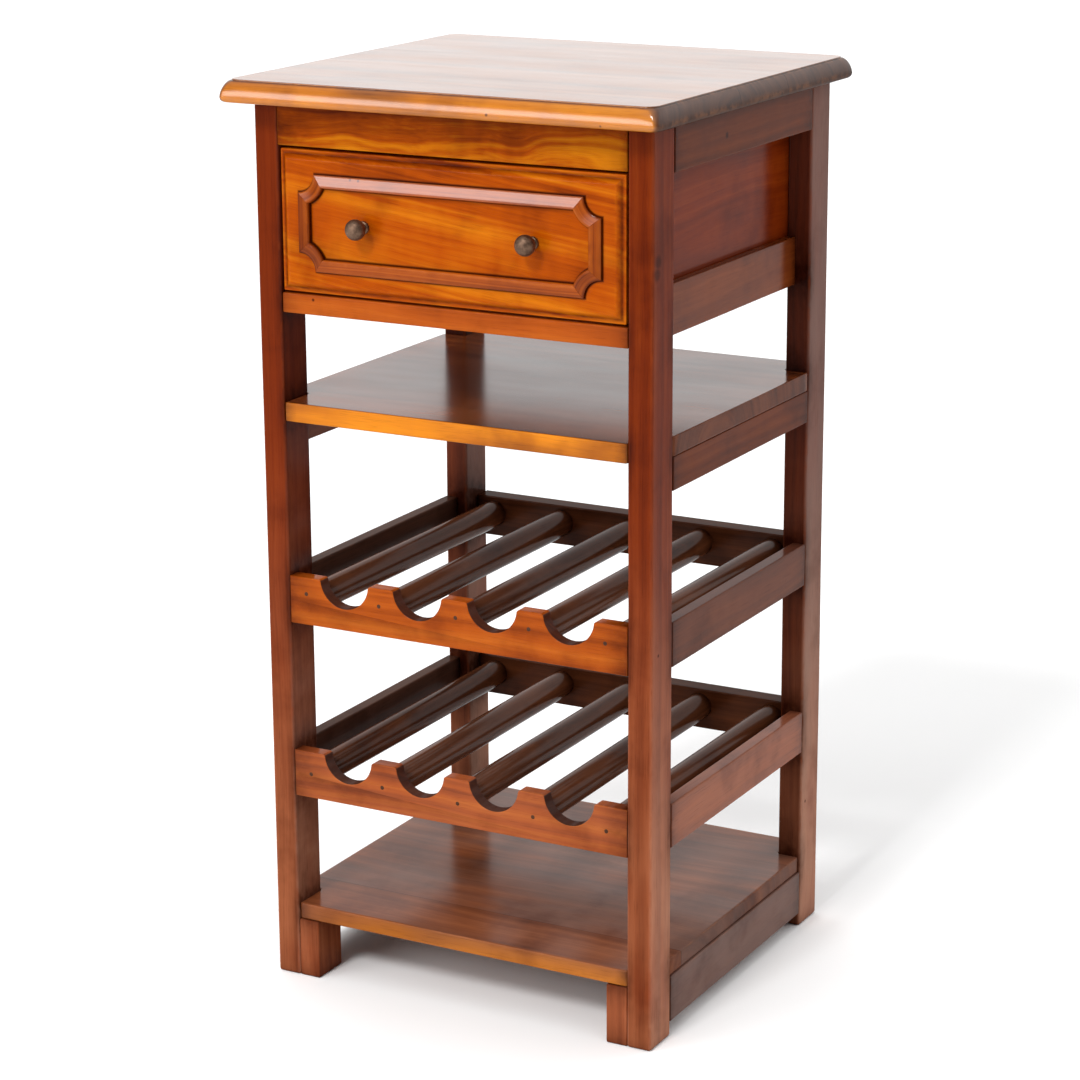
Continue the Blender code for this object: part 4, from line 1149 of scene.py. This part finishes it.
class WINETABLE_OT_racks(bpy.types.Operator):
    """Two bottle racks: scalloped fronts, rails, bars and pins"""

    bl_idname = "wine_table.racks"
    bl_label = "Make the racks"

    def scalloped(self, s, half, foot, head, middles):
        """Outline of a front rail, anticlockwise: a straight foot, and a hollow between each pair of bars.

        Each hollow is a circular arc whose shoulders turn over quarter circles on to the rail's head.
        """
        centre = foot + s.scallop_floor + s.scallop
        start = math.asin((head - s.hump_round - centre) / s.scallop)
        reach = s.scallop * math.cos(start)
        turn = np.linspace(0.0, QUARTER, 7)
        over = head - s.hump_round * (1 - np.cos(turn))
        shoulder = np.stack([reach + s.hump_round * (1 - np.sin(turn)), over], -1)
        angle = np.linspace(start, -math.pi - start, 41)[1:-1]
        arc = np.stack([s.scallop * np.cos(angle), centre + s.scallop * np.sin(angle)], -1)
        hollow = np.concatenate([shoulder, arc, shoulder[::-1] * (-1.0, 1.0)])
        hollows = (hollow + np.stack([middles, np.zeros(len(middles))], -1)[:, None]).reshape(-1, 2)
        foot_run = np.stack([np.linspace(-half, half, 15), np.full(15, foot)], -1)
        end = np.array([(half, (foot + head) / 2), (half, head)])
        return np.concatenate([foot_run, end, hollows, end[::-1] * (-1.0, 1.0)])

    def front(self, s, rack, centres):
        """Front rail: its scalloped outline carried through its thickness."""
        node = f"{rack}_front"
        (_, half), _ = clear_spans(s.gap)
        low, high = corners(node)
        middles = (centres[1:, 0] + centres[:-1, 0])[::-1] / 2
        outline = self.scalloped(s, half, low[2], high[2], middles)
        along, inset, _ = stations(high[1] - low[1], s.rack_round)
        points = lofted(drawn_in(outline, inset), 1, low[1] + along)
        inset = inset[:, None]
        x, y, z = np.moveaxis(points, -1, 0)
        inside = (z > low[2] + 10 * MM) & (z < high[2] - 1.2 * MM) & (inset < 0.2 * MM)
        fields = {
            "grain": in_tree(x, z - low[2], y - low[1], seeded(node), (50.0, 90.0)),
            "wear": np.sin(math.pi * np.clip(inset / s.rack_round, 0.0, 1.0)),
            "ends": inside,
            # Painted shade and dirt towards the ends, by the posts
            "nook": np.exp(-(half - np.abs(x)) / NOOK_REACH),
            "dust": inside * 0.5 + {"rack_lower": 0.2, "rack_upper": 0.0}[rack],
        }
        piece(node, points, fields, "rack_wood")

    def bar(self, node, low, high):
        """Bar: a circle carried along the depth, slightly oval by the cosine of twice its turn."""
        random = seeded(node)
        size, middle = high - low, (low + high) / 2
        along, inset, grain_end = (item[:, None] for item in stations(size[1], 1.0 * MM))
        angle = full_circle(TURNED_SIDES)
        oval = 1 - BAR_OVAL * (1 + np.cos(2 * (angle - random.uniform(0.0, 3.0)))) / 2
        points = turned((size[0] / 2 - inset) * oval, low[1] + along, middle)
        stray = BAR_STRAY * np.sin(math.pi * along / size[1])
        points[..., 0] += stray * np.sin(random.uniform(0.0, 6.0) + 11 * along)
        x, y, z = np.moveaxis(points, -1, 0)
        to_end = np.minimum(along, size[1] - along)
        fields = {
            "grain": in_tree(y, x - middle[0], z - middle[2], random, (50.0, 120.0)),
            "ends": grain_end,
            # Painted shade and dirt where the bar enters its sockets
            "nook": np.exp(-np.maximum(to_end - BAR_SOCKET, 0.0) / NOOK_REACH),
        }
        piece(node, points, fields, "bar_wood")

    def pin(self, s, name, middle, face):
        """Pin head: a shallow dome whose height falls with the square of the distance from the middle."""
        part = np.array([0.05, 0.35, 0.6, 0.8, 0.95, 1.0, 0.8])[:, None]
        out = np.array([0.25, 0.22, 0.16, 0.09, 0.02, -0.15, -0.6])[:, None] * MM
        random = seeded(name)
        spot = middle + np.array([random.uniform(-2.5, 2.5), 0.0, random.uniform(-1.5, 1.5)]) * MM
        thing = skin(name, turned(s.pin * part, face - out, spot, PIN_SIDES), {})
        thing.data.materials.append(finish_named("pin_metal"))
        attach(thing, "table")

    def execute(self, context):
        s = context.scene.wine_table_shapes
        for rack in RACKS:
            bars = [corners(f"{rack}_bar_{count}") for count in BARS]
            centres = np.array([(low + high) / 2 for low, high in bars])
            self.front(s, rack, centres)
            node = f"{rack}_rear"
            piece(node, *rail(s, node, 0), "bar_wood")
            for side, finish, dust in (("left", "bar_wood", 0.35), ("right", "brown_wood", 0.2)):
                node = f"{rack}_side_{side}"
                points, fields = rail(s, node, 1)
                # This side rail is lighter all over
                fade = 0.95 if node == "rack_lower_side_right" else 0.0
                piece(node, points, {**fields, "dust": dust, "fade": fade}, finish)
            face = corners(f"{rack}_front")[0][1]
            lift = np.array([0.0, 0.0, {"rack_lower": -0.5, "rack_upper": 6.0}[rack]]) * MM
            for count, box in zip(BARS, bars):
                self.bar(f"{rack}_bar_{count}", *box)
            for count, centre in zip(BARS, centres):
                self.pin(s, f"{rack}_pin_{count}", centre + lift, face)
        return {"FINISHED"}


class WINETABLE_OT_stage(bpy.types.Operator):
    """Pale floor, lamps, room light and the camera"""

    bl_idname = "wine_table.stage"
    bl_label = "Set the stage"

    def floor(self, settings):
        """Disc: rings of points about the table, closer together near it."""
        radius = FLOOR_REACH * np.linspace(0.02, 1.0, 40)[:, None] ** 2.5
        angle = full_circle(FLOOR_SIDES)
        x, y = radius * np.cos(angle), radius * np.sin(angle)
        upper = np.stack([x, y, np.full(x.shape, -FLOOR_SINK)], axis=-1)
        floor = skin("floor", np.concatenate([upper, upper[-1:] - (0.0, 0.0, FLOOR_THICK)]), {})
        material, graph, shader = blank("floor_paper")
        tooth = graph.noise(graph.here(), *NOISES["tooth"])
        path = graph.node("ShaderNodeLightPath", {}, {}, "Is Camera Ray")
        seen = path + path.beside("Is Glossy Ray") + path.beside("Is Transmission Ray")
        seen = graph.math("MINIMUM", seen, 1.0)
        pale = graph.mix(seen, tuple(settings.floor), tuple(settings.floor_seen))
        dim = graph.mix(0.015, pale, (0.0, 0.0, 0.0))
        paper = graph.mix(tooth, dim, pale)
        graph.feed(shader, {"Base Color": paper, "Roughness": 0.9, "Specular IOR Level": 0.1})
        floor.data.materials.append(material)

    def room(self, scene, settings):
        """Light from all round: a white wall behind, a pale ceiling and dimmer walls in front."""
        world = bpy.data.worlds.new("studio")
        world.use_nodes = True
        scene.world = world
        graph = Graph(world.node_tree)
        way = graph.node("ShaderNodeTexCoord", {}, {}, "Generated")
        across = graph.node("ShaderNodeSeparateXYZ", {}, {0: way})
        deep, up = across.beside(1), across.beside(2)
        ceiling = graph.rise(up, 0.40, 0.75)
        backdrop = graph.rise(deep, -0.1, 0.6) * (1 - graph.rise(up, 0.3, 0.8))
        strength = settings.room + ceiling * settings.ceiling + backdrop * settings.backdrop
        back = world.node_tree.nodes["Background"]
        graph.feed(back, {"Color": (1.0, 1.0, 1.0, 1.0), "Strength": strength})

    def lamp(self, scene, name, kind, way, energy):
        """A lamp that shines from a direction."""
        lamp = bpy.data.objects.new(name, bpy.data.lights.new(name, kind))
        lamp.data.energy = energy
        lamp.rotation_euler = Vector(way).to_track_quat("Z", "Y").to_euler()
        scene.collection.objects.link(lamp)
        return lamp

    def lamps(self, scene, settings):
        """A key lamp like a small sun, and a wide strip of even brightness."""
        key = self.lamp(scene, "key_lamp", "SUN", settings.key_from, settings.key)
        key.data.angle = settings.key_spread
        way, width, height = settings.strip_from, settings.strip_width, settings.strip_height
        strip = self.lamp(scene, "strip_lamp", "AREA", way, settings.strip * math.pi * width * height)
        strip.data.shape = "RECTANGLE"
        strip.data.size, strip.data.size_y = width, height
        strip.location = Vector((0.0, 0.0, settings.lamp_aim)) + Vector(way) * settings.strip_far
        strip.visible_camera = False

    def camera(self, scene, settings):
        """Camera at the photograph's angle."""
        camera = bpy.data.objects.new("camera", bpy.data.cameras.new("camera"))
        turn, down, roll = settings.camera_turn
        aim = Matrix.Rotation(turn, 4, "Z") @ Matrix.Rotation(QUARTER - down, 4, "X")
        camera.rotation_euler = (aim @ Matrix.Rotation(-roll, 4, "Z")).to_euler()
        camera.location = settings.camera_place
        camera.data.sensor_width = SENSOR
        camera.data.lens = SENSOR * settings.focal / PHOTO_SIDE
        camera.data.shift_x = (PHOTO_SIDE / 2 - settings.middle_x) / PHOTO_SIDE
        camera.data.shift_y = (settings.middle_y - PHOTO_SIDE / 2) / PHOTO_SIDE
        scene.collection.objects.link(camera)
        scene.camera = camera

    def execute(self, context):
        scene = context.scene
        settings = scene.wine_table_stage
        scene.view_settings.view_transform = "Standard"
        self.floor(settings)
        self.room(scene, settings)
        self.lamps(scene, settings)
        self.camera(scene, settings)
        return {"FINISHED"}


OPERATORS = (
    WINETABLE_OT_top,
    WINETABLE_OT_posts,
    WINETABLE_OT_case,
    WINETABLE_OT_drawer,
    WINETABLE_OT_moulding,
    WINETABLE_OT_knobs,
    WINETABLE_OT_shelves,
    WINETABLE_OT_racks,
    WINETABLE_OT_stage,
)
GROUPS = {
    "wine_table_shapes": TableShapes,
    "wine_table_woods": TableWoods,
    "wine_table_stage": TableStage,
}


class WINETABLE_PT_sidebar(bpy.types.Panel):
    """The wine table's pieces and settings"""

    bl_label = "Wine table"
    bl_space_type = "VIEW_3D"
    bl_region_type = "UI"
    bl_category = "Wine table"

    def draw(self, context):
        for operator in OPERATORS:
            self.layout.operator(operator.bl_idname)
        for name, group in GROUPS.items():
            box = self.layout.box()
            for key in group.__annotations__:
                box.prop(getattr(context.scene, name), key)


CLASSES = (*GROUPS.values(), *OPERATORS, WINETABLE_PT_sidebar)


def register():
    for kind in CLASSES:
        bpy.utils.register_class(kind)
    for name, group in GROUPS.items():
        setattr(bpy.types.Scene, name, PointerProperty(type=group))


def unregister():
    for name in GROUPS:
        delattr(bpy.types.Scene, name)
    for kind in reversed(CLASSES):
        bpy.utils.unregister_class(kind)


def main():
    """Make every piece and the stage."""
    register()
    bpy.ops.wine_table.top()
    bpy.ops.wine_table.posts()
    bpy.ops.wine_table.case()
    bpy.ops.wine_table.drawer()
    bpy.ops.wine_table.moulding()
    bpy.ops.wine_table.knobs()
    bpy.ops.wine_table.shelves()
    bpy.ops.wine_table.racks()
    bpy.ops.wine_table.stage()


if __name__ == "__main__":
    main()
